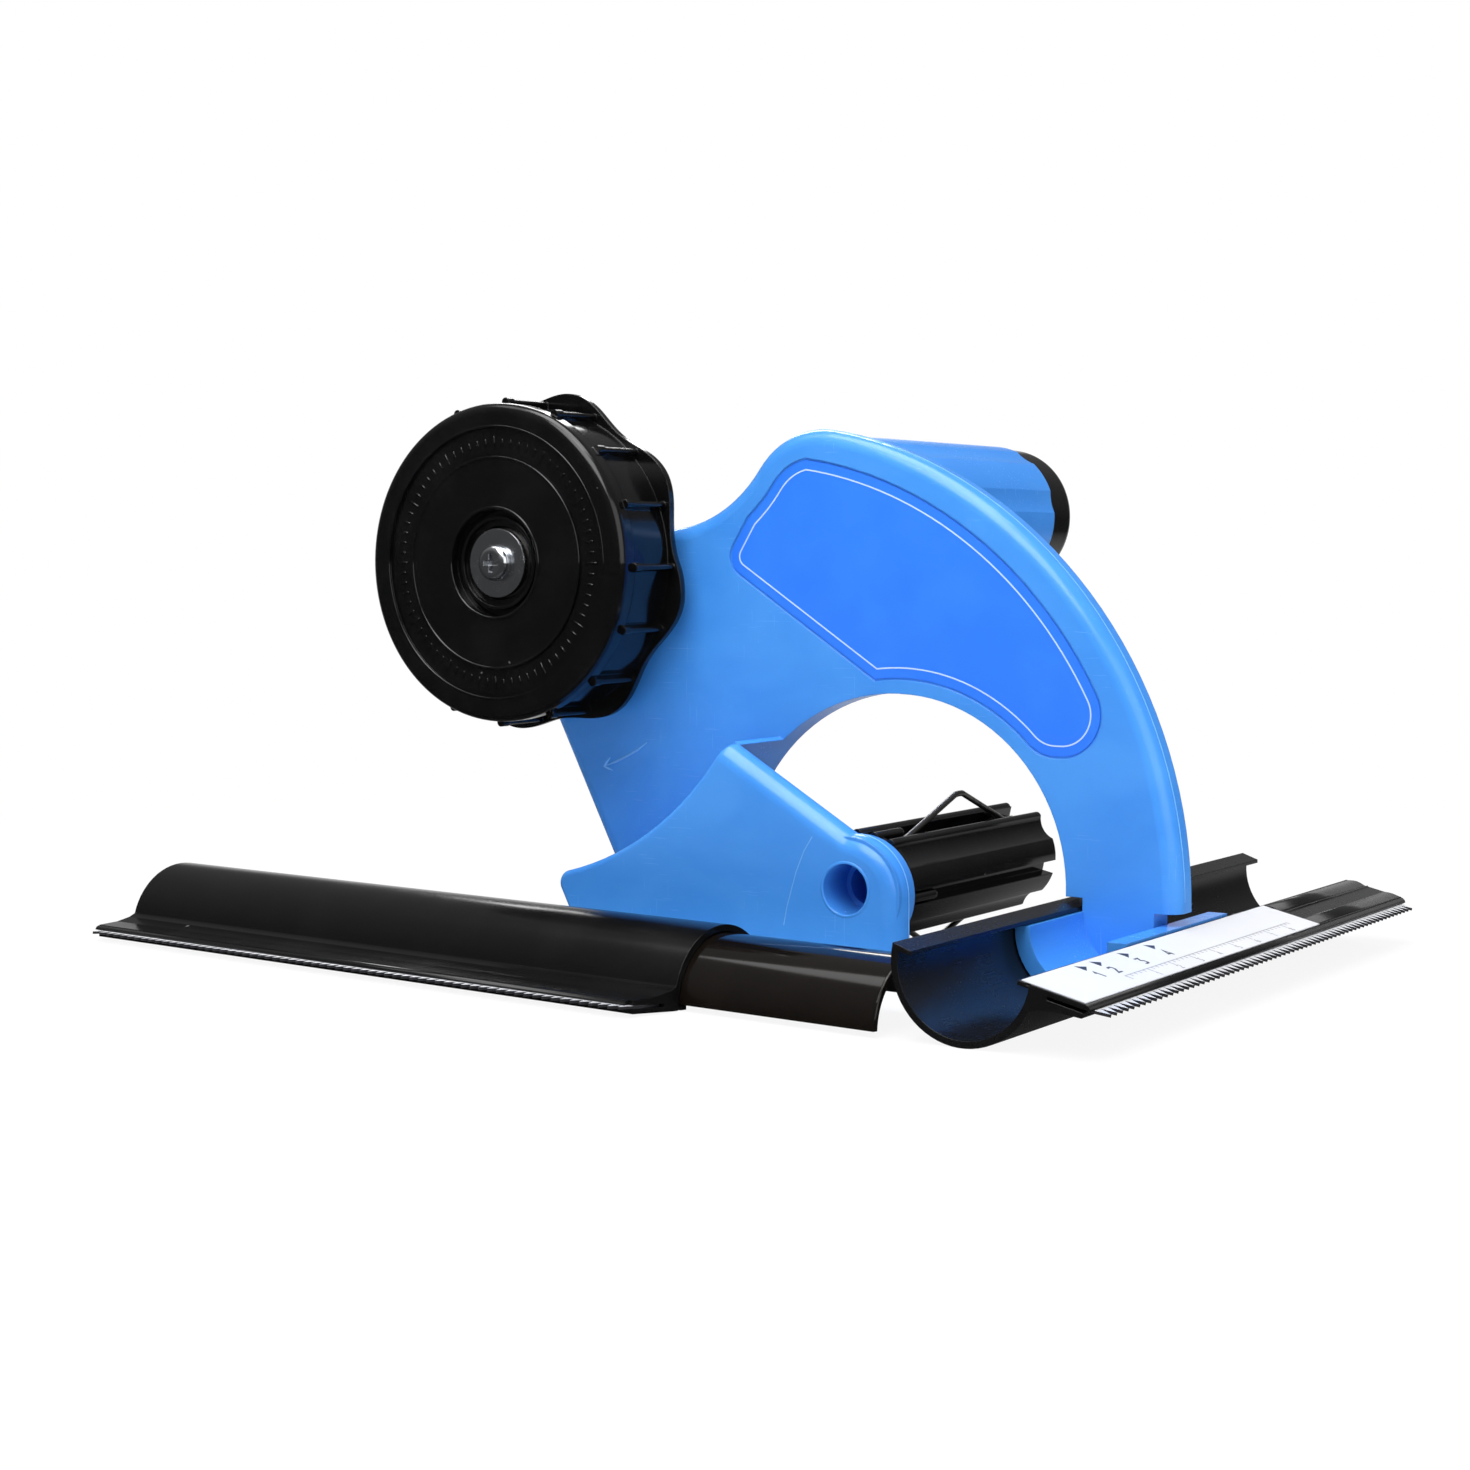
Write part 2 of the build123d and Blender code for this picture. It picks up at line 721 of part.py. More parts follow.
def hub_spring_disc():
    """A cone spring between the washer and the hub's pocket."""
    near_y = post_front_y + spring_disc_slack
    far_y = spring_seat_y - spring_disc_slack
    inner_r, outer_r2 = post_r + moving_gap, hub_pocket_r - moving_gap
    outline = Polyline((inner_r, near_y), (inner_r, near_y + spring_disc_thick),
                       (outer_r2, far_y), (outer_r2, far_y - spring_disc_thick), close=True)
    ring = revolve(filled([outline]), Axis.Y)
    return Pos(tape_x, 0, tape_z) * ring


def hub_washer():
    return washer(tape_axis, washer_r, screw_r + running_fit, post_front_y - washer_thick, washer_thick)


def hub_insert():
    insert = rod(tape_axis, insert_r - running_fit, post_front_y, post_front_y + insert_length - moving_gap)
    insert += rod(tape_axis, insert_flange_r - running_fit, post_front_y,
                  post_front_y + insert_flange_thick)
    return insert - rod(tape_axis, screw_r + running_fit, post_front_y - cut_overrun,
                        post_front_y + insert_length + cut_overrun)


def pan_screw(axis, face_y, direction, radius, length, head_r, head_height):
    """A cross headed pan screw whose head sits on a face; direction is the way it points."""
    tip = face_y + direction * length
    crown = face_y - direction * head_height
    head = rod(axis, head_r, min(face_y, crown), max(face_y, crown))
    head = fillet(edges_at_y(head, crown), head_height * screw_crown_share)
    cross = rect2d(-screw_recess_r, screw_recess_r, -screw_recess_width / 2, screw_recess_width / 2)
    cross += Rot(0, 0, 90) * cross
    floor = crown + direction * screw_recess_depth
    above = crown - direction * cut_overrun
    head -= slab(Pos(*axis) * cross, min(floor, above), max(floor, above))
    return head + rod(axis, radius, min(face_y, tip), max(face_y, tip))


def hub_screw():
    return pan_screw(tape_axis, post_front_y - washer_thick, 1, screw_r, screw_length,
                     screw_head_r, screw_head_height)


# Paper spindle

def spindle_section():
    """Four panels round the axle; the pair of spring slots have raised lips."""
    section = disc2d(origin, spindle_r)
    for slot in (spindle_slot_turn, spindle_slot_turn + half_turn):
        for side in (-1, 1):
            section += disc2d(point_at(origin, ridge_centre_r, slot + side * ridge_angle), ridge_r)
            scoop = point_at(origin, spindle_r - scoop_depth + scoop_r, slot + side * scoop_angle)
            section -= disc2d(scoop, scoop_r)
    for quarter, width in enumerate((spring_slot_width, plain_slot_width) * 2):
        angle = spindle_slot_turn + quarter * quarter_turn
        far = point_at(origin, spindle_r + cut_overrun, angle)
        section -= rib2d(point_at(origin, slot_floor_r, angle), far, width)
    return section


def spindle_body():
    body = slab(spindle_section(), spindle_near_y, spindle_far_y)
    body += rod(origin, spindle_rim_r, spindle_near_y, spindle_near_y + plate_wall)
    for quarter in range(4):
        angle = spindle_slot_turn + quarter * quarter_turn
        inner = point_at(origin, slot_floor_r - ridge_r, angle)
        nub = rib2d(inner, point_at(origin, nub_r - nub_width / 2, angle), nub_width)
        nub += disc2d(point_at(origin, nub_r - nub_width / 2, angle), nub_width / 2)
        body += slab(nub, spindle_near_y, spindle_near_y + nub_length)
    body -= rod(origin, axle_r + running_fit, spindle_near_y - cut_overrun, spindle_far_y + cut_overrun)
    return body - rod(origin, spindle_washer_r + moving_gap, axle_end_y - moving_gap,
                      spindle_far_y + cut_overrun)


def spindle_washer():
    return washer(origin, spindle_washer_r, spindle_screw_r + running_fit, axle_end_y,
                  spindle_washer_thick)


def spindle_screw():
    face_y = axle_end_y + spindle_washer_thick
    return pan_screw(origin, face_y, -1, spindle_screw_r, spindle_screw_length - moving_gap,
                     spindle_head_r, spindle_head_height)


def spindle_spring(turn):
    """A wire bent to a point, lying along one slot of the spindle."""
    foot = slot_floor_r + wire_r + spring_disc_slack
    path = FilletPolyline(
        (foot, 0, spring_near_y), (foot, 0, spring_near_y + spring_tail / 2),
        (spring_apex_r, 0, spring_apex_y - spring_apex_flat / 2),
        (spring_apex_r, 0, spring_apex_y + spring_apex_flat / 2),
        (foot, 0, spring_bend_y), (foot, 0, spring_bend_y + spring_tail), radius=spring_bend_round)
    start = Plane(origin=path @ 0, z_dir=path % 0)
    wire = sweep(start * Circle(wire_r), path)
    along_y = Rot(-90, 0, 0) * wire
    return Rot(0, -turn, 0) * along_y


# Cutting blade and its extension

flange_dir = (math.cos(math.radians(flange_tilt)), -math.sin(math.radians(flange_tilt)))


def flange_point(along, down):
    """A place on the flange, from its inner tip, along its top and down square to it."""
    return (flange_inner_x + along * flange_dir[0] + down * flange_dir[1],
            flange_inner_z + along * flange_dir[1] - down * flange_dir[0])


def lip_points():
    side = -math.sqrt(trough_r**2 - lip_height**2)
    tip = side + lip_reach
    return [(side, lip_height), (tip, lip_height - lip_droop),
            (tip, lip_height - lip_droop - lip_tip_thick),
            (side + trough_wall, lip_height - lip_root_thick)]


def trough_section():
    """The extruded section about its own axis: trough, lip and flange."""
    ring = disc2d(origin, trough_r) - disc2d(origin, trough_r - trough_wall)
    lip_top, lip_end = lip_points()[:2]
    above = half_plane(lip_top, angle_to(lip_top, lip_end), 1)
    ring -= above & rect2d(-2 * trough_r, 0, -trough_r, 2 * trough_r)
    ring -= rect2d(0, trough_r + trough_wall, flange_inner_z - flange_hook_thick, trough_r)
    under = [flange_point(flange_width * along, flange_thick * down)
             for along, down in flange_under_shares]
    wall_x = math.sqrt((trough_r - trough_wall) ** 2 - (flange_inner_z - flange_thick / 2) ** 2)
    wall = (wall_x, flange_inner_z - flange_thick / 2)
    flange = filled([Polyline(flange_point(0, 0), flange_point(flange_width, 0), *under, wall,
                              flange_point(0, flange_hook_thick), close=True)])
    lip = filled([Polyline(*lip_points(), close=True)])
    section = ring + flange + lip
    slot = Pos(*flange_point(flange_width - slot_depth / 2 + cut_overrun / 2, flange_thick / 2))
    section -= slot * Rot(0, 0, -flange_tilt) * Rectangle(slot_depth + cut_overrun, slot_thick)
    groove = Pos(*flange_point(groove_along, 0)) * Rot(0, 0, -flange_tilt)
    return section - groove * Rectangle(groove_width, 2 * groove_depth)


def trough_bar(length):
    """The extrusion along Y from zero, about its own axis."""
    return slab(trough_section(), 0, length)


def tooth_row(count):
    """The strip's toothed edge as points, from the first tooth to the last."""
    points = []
    for step in range(count):
        points.append((step * tooth_pitch, 0))
        points.append(((step + 0.5) * tooth_pitch, tooth_height))
    points.append((count * tooth_pitch, 0))
    return points


def steel_strip(length):
    """The toothed strip in the flange's slot, about the trough's own axis."""
    count = int((length - 2 * steel_end_gap) / tooth_pitch)
    back = slot_depth - moving_gap + tooth_root_reach
    teeth = tooth_row(count)
    outline = Polyline((0, -back), *teeth, (count * tooth_pitch, -back), close=True)
    strip = extrude(filled([outline]), amount=steel_thick / 2, both=True)
    edge = flange_point(flange_width + tooth_root_reach, flange_thick / 2)
    seat = Plane(origin=(edge[0], (length - count * tooth_pitch) / 2, edge[1]), x_dir=(0, 1, 0),
                 z_dir=(flange_dir[1], 0, -flange_dir[0]))
    return seat * strip


mounted = Pos(trough_x, blade_near_y, trough_z)


def blade_profile():
    return mounted * trough_bar(blade_length)


def blade_steel():
    return mounted * steel_strip(blade_length)


def blade_label():
    first, last = edge_round, flange_width
    middle = flange_point((first + last) / 2, -blade_label_thick / 2)
    sheet = Pos(*middle) * Rot(0, 0, -flange_tilt) * Rectangle(last - first, blade_label_thick)
    return mounted * slab(Sketch() + sheet, blade_label_inset, blade_label_inset + blade_label_length)


def resting_roll():
    """The roll and axis height of the trough turned over onto its lip and flange tip."""
    lip, edge = lip_points()[0], flange_point(0, 0)
    roll = math.atan2(lip[1] - edge[1], edge[0] - lip[0])
    height = lip[0] * math.sin(roll) + lip[1] * math.cos(roll)
    return math.degrees(roll), height


def laid_down():
    """Where the loose extension lies: turned over, in front of the frame."""
    roll, height = resting_roll()
    place = Pos(extension_right_x, extension_crest_y, floor_z + height)
    return place * Rot(0, 0, 90 + extension_turn) * Rot(0, 180 - roll, 0)


def chamfer_cut():
    """What is beyond the cut corner of the extension's flange, at the sleeve's end."""
    start = flange_point(flange_width, 0)[0] - extension_chamfer
    beyond = half_plane((start, 0), extension_chamfer_angle, -1)
    return extrude(beyond, amount=2 * trough_r, both=True)


def extension_profile():
    return laid_down() * (trough_bar(extension_length) - chamfer_cut())


def extension_steel():
    return laid_down() * (steel_strip(extension_length) - chamfer_cut())


def sleeve_section():
    outer = trough_r - trough_wall - sleeve_gap
    ring = disc2d(origin, outer) - disc2d(origin, outer - sleeve_wall)
    far = 2 * trough_r
    step = (sleeve_flange_angle - sleeve_lip_angle) / 4
    corners = [point_at(origin, far, sleeve_lip_angle + step * corner) for corner in range(5)]
    return ring & filled([Polyline(origin, *corners, close=True)])


def extension_sleeve():
    return laid_down() * slab(sleeve_section(), -sleeve_reach, sleeve_length - sleeve_reach)


nodes = {
    "frame_shell": frame_shell,
    "main_label": main_label,
    "handle_grip": handle_grip,
    "handle_end_cap": handle_end_cap,
    "handle_bolt": handle_bolt,
    "handle_washer": handle_washer,
    "handle_insert": handle_insert,
    "hub_drum": hub_drum,
    "hub_insert": hub_insert,
    "hub_screw": hub_screw,
    "hub_washer": hub_washer,
    "hub_spring_disc": hub_spring_disc,
    "hub_friction_disc": hub_friction_disc,
    "spindle_body": spindle_body,
    "spindle_screw": spindle_screw,
    "spindle_washer": spindle_washer,
    "spindle_spring_top": lambda: spindle_spring(spindle_slot_turn),
    "spindle_spring_bottom": lambda: spindle_spring(spindle_slot_turn + half_turn),
    "blade_profile": blade_profile,
    "blade_steel": blade_steel,
    "blade_label": blade_label,
    "extension_profile": extension_profile,
    "extension_steel": extension_steel,
    "extension_sleeve": extension_sleeve,
}

if __name__ == "__main__":
    os.makedirs("parts", exist_ok=True)
    for name, make in nodes.items():
        export_step(make(), "parts/" + name + ".step")
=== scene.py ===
import bmesh
import bpy
import math
from mathutils import Matrix, Vector


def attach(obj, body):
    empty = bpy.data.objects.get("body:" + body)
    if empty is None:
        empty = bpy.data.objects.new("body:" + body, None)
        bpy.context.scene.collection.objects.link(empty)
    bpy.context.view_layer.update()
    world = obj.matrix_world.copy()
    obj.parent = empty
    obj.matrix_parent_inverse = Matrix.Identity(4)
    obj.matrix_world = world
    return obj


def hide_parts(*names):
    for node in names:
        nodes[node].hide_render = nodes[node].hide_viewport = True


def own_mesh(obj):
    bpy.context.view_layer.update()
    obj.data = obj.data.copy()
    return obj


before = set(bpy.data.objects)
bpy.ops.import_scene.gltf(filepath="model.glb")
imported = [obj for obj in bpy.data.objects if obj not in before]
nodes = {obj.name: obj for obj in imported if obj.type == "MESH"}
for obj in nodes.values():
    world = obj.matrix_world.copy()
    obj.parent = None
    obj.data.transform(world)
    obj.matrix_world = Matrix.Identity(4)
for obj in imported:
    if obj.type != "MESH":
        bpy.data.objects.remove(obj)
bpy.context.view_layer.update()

# Places and sizes of the object, in millimetres and degrees

MM = 0.001
FLOOR_Z = -20.4

# The tape hub turns about a line along Y through this x and z
HUB_X, HUB_Z = -93.0, 69.8
HUB_FACE_Y = -2.95

# The blade's flange slopes down and outwards from this edge, and runs along Y
FLANGE_X, FLANGE_Z = 67.0, -6.4
FLANGE_SLOPE = 13.3
FLANGE_NEAR, FLANGE_FAR = -50.4, 123.6
STICKER_FAR = 69.3
STICKER_TOP = 0.19

# The same flange on the loose extension, before it is laid down
LOOSE_FLANGE_X, LOOSE_FLANGE_Z = 11.5, -1.4
LOOSE_NEAR, LOOSE_FAR = 3.6, 170.8
FLANGE_THICKNESS = 2.8

# Where the loose extension lies, turned over, in front of the frame
LOOSE_PLACE = (-9.8, -33.2, -19.73)
LOOSE_TURN = 84.8
LOOSE_ROLL = 169.74
LAID_DOWN = (Matrix.Translation(Vector(LOOSE_PLACE) * MM)
             @ Matrix.Rotation(math.radians(LOOSE_TURN), 4, "Z")
             @ Matrix.Rotation(math.radians(LOOSE_ROLL), 4, "Y"))
SLEEVE_RADIUS = 13.2
SLEEVE_END = -47.6

# The spindle's bent wires: the height of each bend above the spindle's line, and its y
SPRING_TURNS = (("top", 78), ("bottom", 258))
SPRING_BENDS = ((9.24, 21.0), (9.24, 23.25), (17.8, 43.0), (17.8, 46.0), (9.24, 70.5), (9.24, 75.0))
SPRING_WIRE_RADIUS = 0.7
SPRING_BEND_REACH = 0.7

# The bracket's boss, and the frame's faces
PLATE_Y = 23.3
PARTING_Y = 4.6
BOSS_RADIUS = 13.1
BOSS_Z = -1.4
ARCH_EDGE_Y = 26.95

# A Mix node's sockets for colours, and for plain numbers
MIX_COLOURS, MIXED_COLOUR = (6, 7), 2
MIX_NUMBERS, MIXED_NUMBER = (2, 3), 0


class Shader:
    """A material under construction. Its textures are laid out in millimetres on the piece."""

    def __init__(self, name, colour, roughness, metallic=0.0):
        self.material = bpy.data.materials.new(name)
        self.material.use_nodes = True
        self.tree = self.material.node_tree
        self.surface = self.tree.nodes["Principled BSDF"]
        self.surface.inputs["Base Color"].default_value = (*colour, 1)
        self.surface.inputs["Roughness"].default_value = roughness
        self.surface.inputs["Metallic"].default_value = metallic
        self.coordinates = self.add("ShaderNodeTexCoord")
        scaled = self.add("ShaderNodeVectorMath", operation="SCALE")
        scaled.inputs["Scale"].default_value = 1 / MM
        self.link(self.coordinates.outputs["Object"], scaled.inputs[0])
        self.place = scaled.outputs[0]

    def add(self, kind, **settings):
        node = self.tree.nodes.new(kind)
        for name, value in settings.items():
            setattr(node, name, value)
        return node

    def link(self, source, target):
        self.tree.links.new(source, target)

    def set(self, **values):
        """Plain values of the surface, such as Specular_IOR_Level=0.4."""
        for name, value in values.items():
            self.surface.inputs[name.replace("_", " ")].default_value = value

    def stretched(self, stretch, turn=(0, 0, 0)):
        mapping = self.add("ShaderNodeMapping")
        mapping.inputs["Scale"].default_value = stretch
        mapping.inputs["Rotation"].default_value = [math.radians(angle) for angle in turn]
        self.link(self.place, mapping.inputs["Vector"])
        return mapping.outputs["Vector"]

    def noise(self, scale, detail, place=None, distortion=0.0):
        node = self.add("ShaderNodeTexNoise")
        node.inputs["Scale"].default_value = scale
        node.inputs["Detail"].default_value = detail
        node.inputs["Distortion"].default_value = distortion
        self.link(place or self.place, node.inputs["Vector"])
        return node.outputs["Fac"]

    def ramp(self, value, start, end, low=0.0, high=1.0):
        node = self.add("ShaderNodeMapRange")
        set_range(node, start, end, low, high)
        self.link(value, node.inputs["Value"])
        return node.outputs["Result"]

    def maths(self, operation, first, second=0.0):
        node = self.add("ShaderNodeMath", operation=operation)
        for slot, value in enumerate((first, second)):
            if isinstance(value, (int, float)):
                node.inputs[slot].default_value = value
            else:
                self.link(value, node.inputs[slot])
        return node.outputs["Value"]

    def mix(self, factor, first, second):
        node = self.add("ShaderNodeMix", data_type="RGBA")
        self.link(factor, node.inputs["Factor"])
        for slot, value in zip(MIX_COLOURS, (first, second)):
            if isinstance(value, tuple):
                node.inputs[slot].default_value = (*value, 1)
            else:
                self.link(value, node.inputs[slot])
        return node.outputs[MIXED_COLOUR]

    def along_axis(self, vector, axis):
        """One of the three parts of a place or direction."""
        split = self.add("ShaderNodeSeparateXYZ")
        self.link(vector, split.inputs[0])
        return split.outputs[axis]

    def specks(self, scale, reach, sparseness):
        """Small round spots in a few of the cells."""
        cells = self.add("ShaderNodeTexVoronoi")
        cells.inputs["Scale"].default_value = scale
        self.link(self.place, cells.inputs["Vector"])
        chosen = self.add("ShaderNodeSeparateColor")
        self.link(cells.outputs["Color"], chosen.inputs[0])
        some = self.ramp(chosen.outputs[0], sparseness, sparseness + 0.01)
        near = self.ramp(cells.outputs["Distance"], reach, reach * 0.4)
        return self.maths("MULTIPLY", some, near)

    def scratches(self, stretch, turn, threshold):
        """Thin broken lines along one direction."""
        lines = self.noise(1.0, 1.0, self.stretched(stretch, turn))
        patches = self.ramp(self.noise(0.05, 2.0), 0.5, 0.62)
        return self.maths("MULTIPLY", self.ramp(lines, threshold, threshold + 0.03), patches)

    def dusty(self, base, haze, film, dust, dust_share):
        """A dark colour under a thin film and a few pale specks."""
        tone = self.mix(self.maths("MULTIPLY", film, 0.5), base, haze)
        self.colour(self.mix(self.maths("MULTIPLY", dust, dust_share), tone, (0.5, 0.5, 0.5)))

    def rough(self, value, start, end, low, high):
        self.link(self.ramp(value, start, end, low, high), self.surface.inputs["Roughness"])

    def colour(self, value):
        self.link(value, self.surface.inputs["Base Color"])

    def relief(self, *layers, edge):
        """Bump layers as (height, strength, distance), over edges softened by a radius, in mm."""
        soft = self.add("ShaderNodeBevel", samples=4)
        soft.inputs["Radius"].default_value = edge * MM
        normal = soft.outputs["Normal"]
        for height, strength, distance in layers:
            bump = self.add("ShaderNodeBump")
            bump.inputs["Strength"].default_value = strength
            bump.inputs["Distance"].default_value = distance * MM
            self.link(height, bump.inputs["Height"])
            self.link(normal, bump.inputs["Normal"])
            normal = bump.outputs["Normal"]
        self.link(normal, self.surface.inputs["Normal"])
        return self.material


def set_range(node, start, end, low, high):
    for name, number in (("From Min", start), ("From Max", end), ("To Min", low), ("To Max", high)):
        node.inputs[name].default_value = number


def blue_plastic():
    base, pale, deep = (0.066, 0.305, 0.83), (0.12, 0.37, 0.87), (0.052, 0.27, 0.79)
    shade = Shader("blue_plastic", base, 0.36)
    flow = shade.noise(0.035, 3.0, shade.stretched((1, 0.5, 1.6), (0, 25, 0)), 0.6)
    tone = shade.mix(shade.ramp(flow, 0.35, 0.65), deep, base)
    marks = shade.scratches((0.12, 3.0, 5.0), (0, 35, 10), 0.70)
    rubs = shade.scratches((4.0, 2.0, 0.1), (20, -15, 0), 0.72)
    worn = shade.maths("MAXIMUM", marks, rubs)
    shade.colour(shade.mix(shade.maths("MULTIPLY", worn, 0.35), tone, pale))
    grain = shade.noise(3.5, 2.0)
    shade.rough(shade.maths("ADD", grain, worn), 0.3, 1.4, 0.2, 0.38)
    shade.set(Specular_IOR_Level=0.45, Subsurface_Weight=0.04, Subsurface_Scale=0.002)
    return shade.relief((grain, 0.06, 0.05), (flow, 0.15, 0.3), (worn, -0.2, 0.03), edge=0.35)


def black_moulded(name, low, high, edge):
    base, haze = (0.003, 0.003, 0.0032), (0.008, 0.008, 0.0085)
    shade = Shader(name, base, low)
    film = shade.ramp(shade.noise(0.08, 4.0), 0.45, 0.75)
    shade.dusty(base, haze, film, shade.specks(0.35, 0.12, 0.985), 0.25)
    marks = shade.scratches((0.15, 3.0, 4.0), (0, 50, 0), 0.68)
    grain = shade.noise(2.5, 2.0)
    dulled = shade.maths("ADD", shade.maths("MULTIPLY", film, 0.6), marks)
    shade.rough(dulled, 0.0, 1.3, low, high)
    shade.set(Specular_IOR_Level=0.4)
    return shade.relief((grain, 0.03, 0.03), (marks, -0.12, 0.02), edge=edge)


def black_extruded(name, base, low, high, along, specular=0.4):
    """Extruded plastic with faint die lines along its length, which lies at an angle."""
    haze = tuple(value * 1.8 for value in base)
    shade = Shader(name, base, low)
    lines = shade.noise(1.0, 2.0, shade.stretched((2.2, 0.012, 2.2), (0, 0, along)))
    film = shade.ramp(shade.noise(0.06, 4.0), 0.45, 0.75)
    shade.dusty(base, haze, film, shade.specks(0.22, 0.13, 0.975), 0.5)
    marks = shade.scratches((0.2, 2.5, 4.0), (0, 15, along + 40), 0.68)
    dulled = shade.maths("ADD", film, shade.maths("ADD", lines, marks))
    shade.rough(dulled, 0.3, 2.0, low, high)
    shade.set(Specular_IOR_Level=specular)
    return shade.relief((lines, 0.025, 0.06), (marks, -0.1, 0.02), edge=0.25)


def sticker(name, base, other):
    shade = Shader(name, base, 0.4)
    print_tone = shade.ramp(shade.noise(0.06, 2.0), 0.4, 0.7)
    shade.colour(shade.mix(shade.maths("MULTIPLY", print_tone, 0.5), base, other))
    peel = shade.noise(0.9, 3.0)
    marks = shade.scratches((0.15, 3.0, 4.0), (0, 30, 0), 0.71)
    shade.rough(shade.maths("ADD", peel, marks), 0.2, 1.3, 0.32, 0.5)
    shade.set(Specular_IOR_Level=0.4)
    return shade.relief((peel, 0.05, 0.06), (marks, -0.15, 0.02), edge=0.1)


def metal(name, base, stain, low, high):
    shade = Shader(name, base, low, 1.0)
    brushed = shade.noise(1.0, 3.0, shade.stretched((0.3, 4.0, 0.3)))
    spots = shade.ramp(shade.noise(0.5, 4.0), 0.5, 0.72)
    shade.colour(shade.mix(shade.maths("MULTIPLY", spots, 0.6), base, stain))
    shade.rough(shade.maths("ADD", brushed, spots), 0.3, 1.5, low, high)
    return shade.relief((brushed, 0.12, 0.03), (spots, 0.1, 0.02), edge=0.3)


def cut_steel():
    """Pale plated strip whose sideways-facing faces, the stamped edges, are coloured near black as
    painted shade.
    """
    pale, stain, painted_side_shade = (0.86, 0.87, 0.9), (0.66, 0.67, 0.7), (0.03, 0.03, 0.035)
    shade = Shader("blade_steel", (0.82, 0.84, 0.88), 0.4, 0.35)
    rolled = shade.noise(1.0, 3.0, shade.stretched((3.0, 0.2, 3.0)))
    spots = shade.ramp(shade.noise(0.5, 4.0), 0.5, 0.72)
    face = shade.mix(shade.maths("MULTIPLY", spots, 0.5), pale, stain)
    upwards = shade.maths("ABSOLUTE", shade.along_axis(shade.coordinates.outputs["Normal"], "Z"))
    # Faces that point sideways get the near-black painted shade; faces pointing up or down keep the
    # pale plating
    shade.colour(shade.mix(shade.ramp(upwards, 0.55, 0.8), painted_side_shade, face))
    shade.rough(shade.maths("ADD", rolled, spots), 0.3, 1.5, 0.32, 0.5)
    return shade.relief((rolled, 0.12, 0.03), (spots, 0.1, 0.02), edge=0.05)


def fibre_board():
    dark, pale = (0.18, 0.065, 0.035), (0.32, 0.14, 0.08)
    shade = Shader("drag_fibre", (0.24, 0.09, 0.05), 0.85)
    strands = shade.noise(1.5, 5.0, shade.stretched((1, 6, 1)))
    shade.colour(shade.mix(shade.ramp(strands, 0.35, 0.65), dark, pale))
    return shade.relief((strands, 0.4, 0.08), edge=0.1)


BLUE = blue_plastic()
BLACK = black_moulded("black_moulded", 0.12, 0.24, 0.5)
GLOSS = black_moulded("black_gloss", 0.07, 0.15, 0.2)
SOFT_EDGED = black_moulded("black_soft_edged", 0.07, 0.13, 0.4)
EXTRUDED = black_extruded("black_extruded", (0.0045, 0.0045, 0.005), 0.25, 0.31, 0, 0.32)
EXTRUDED_LOOSE = black_extruded("black_extruded_loose", (0.004, 0.004, 0.0042), 0.17, 0.25,
                                LOOSE_TURN, 0.28)
SLEEVE = black_extruded("black_sleeve", (0.0045, 0.0034, 0.0027), 0.08, 0.14, LOOSE_TURN)
LABEL = sticker("label_blue", (0.022, 0.19, 0.93), (0.035, 0.23, 0.97))
PAPER = sticker("label_white", (0.74, 0.75, 0.78), (0.70, 0.71, 0.75))
ZINC = metal("zinc", (0.62, 0.64, 0.67), (0.5, 0.51, 0.54), 0.16, 0.3)
WIRE = metal("spring_wire", (0.16, 0.155, 0.15), (0.08, 0.075, 0.07), 0.28, 0.45)
BLADE = cut_steel()
BRASS = metal("brass", (0.72, 0.50, 0.19), (0.4, 0.26, 0.1), 0.28, 0.5)
FIBRE = fibre_board()
INK = sticker("printed_black", (0.02, 0.02, 0.022), (0.05, 0.05, 0.05))
FAINT_INK = sticker("printed_grey", (0.3, 0.31, 0.33), (0.38, 0.39, 0.41))
# A paler blue that paints highlight along the raised arrow and the parting beads; the flow line is
# drawn in it too
HIGHLIGHT_PALE_BLUE = sticker("pale_blue_painted_highlight", (0.16, 0.45, 0.93), (0.2, 0.5, 0.95))
KEYLINE = sticker("printed_pale_blue", (0.5, 0.68, 0.95), (0.55, 0.72, 0.97))

FINISHES = {
    "frame_shell": BLUE, "main_label": LABEL, "handle_grip": BLUE, "handle_end_cap": GLOSS,
    "handle_bolt": ZINC, "handle_washer": ZINC, "handle_insert": BRASS, "hub_insert": BRASS,
    "hub_washer": ZINC, "hub_spring_disc": WIRE, "hub_friction_disc": FIBRE,
    "spindle_screw": ZINC, "spindle_washer": ZINC, "hub_drum": BLACK, "hub_screw": ZINC,
    "spindle_body": SOFT_EDGED, "spindle_spring_top": WIRE, "spindle_spring_bottom": WIRE,
    "blade_profile": EXTRUDED, "blade_steel": BLADE, "blade_label": PAPER,
    "extension_profile": EXTRUDED_LOOSE, "extension_steel": BLADE, "extension_sleeve": SLEEVE,
}

for name, finish in FINISHES.items():
    mesh = nodes[name].data
    mesh.materials.clear()
    mesh.materials.append(finish)


# Making pieces. Every size and place that goes in is in millimetres

def new_piece(name, mesh, finish, body):
    piece = bpy.data.objects.new(name, mesh)
    bpy.context.scene.collection.objects.link(piece)
    mesh.materials.append(finish)
    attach(piece, body)
    return piece


def finished_mesh(shape):
    bmesh.ops.recalc_face_normals(shape, faces=shape.faces)
    mesh = bpy.data.meshes.new("mark")
    shape.to_mesh(mesh)
    shape.free()
    return mesh


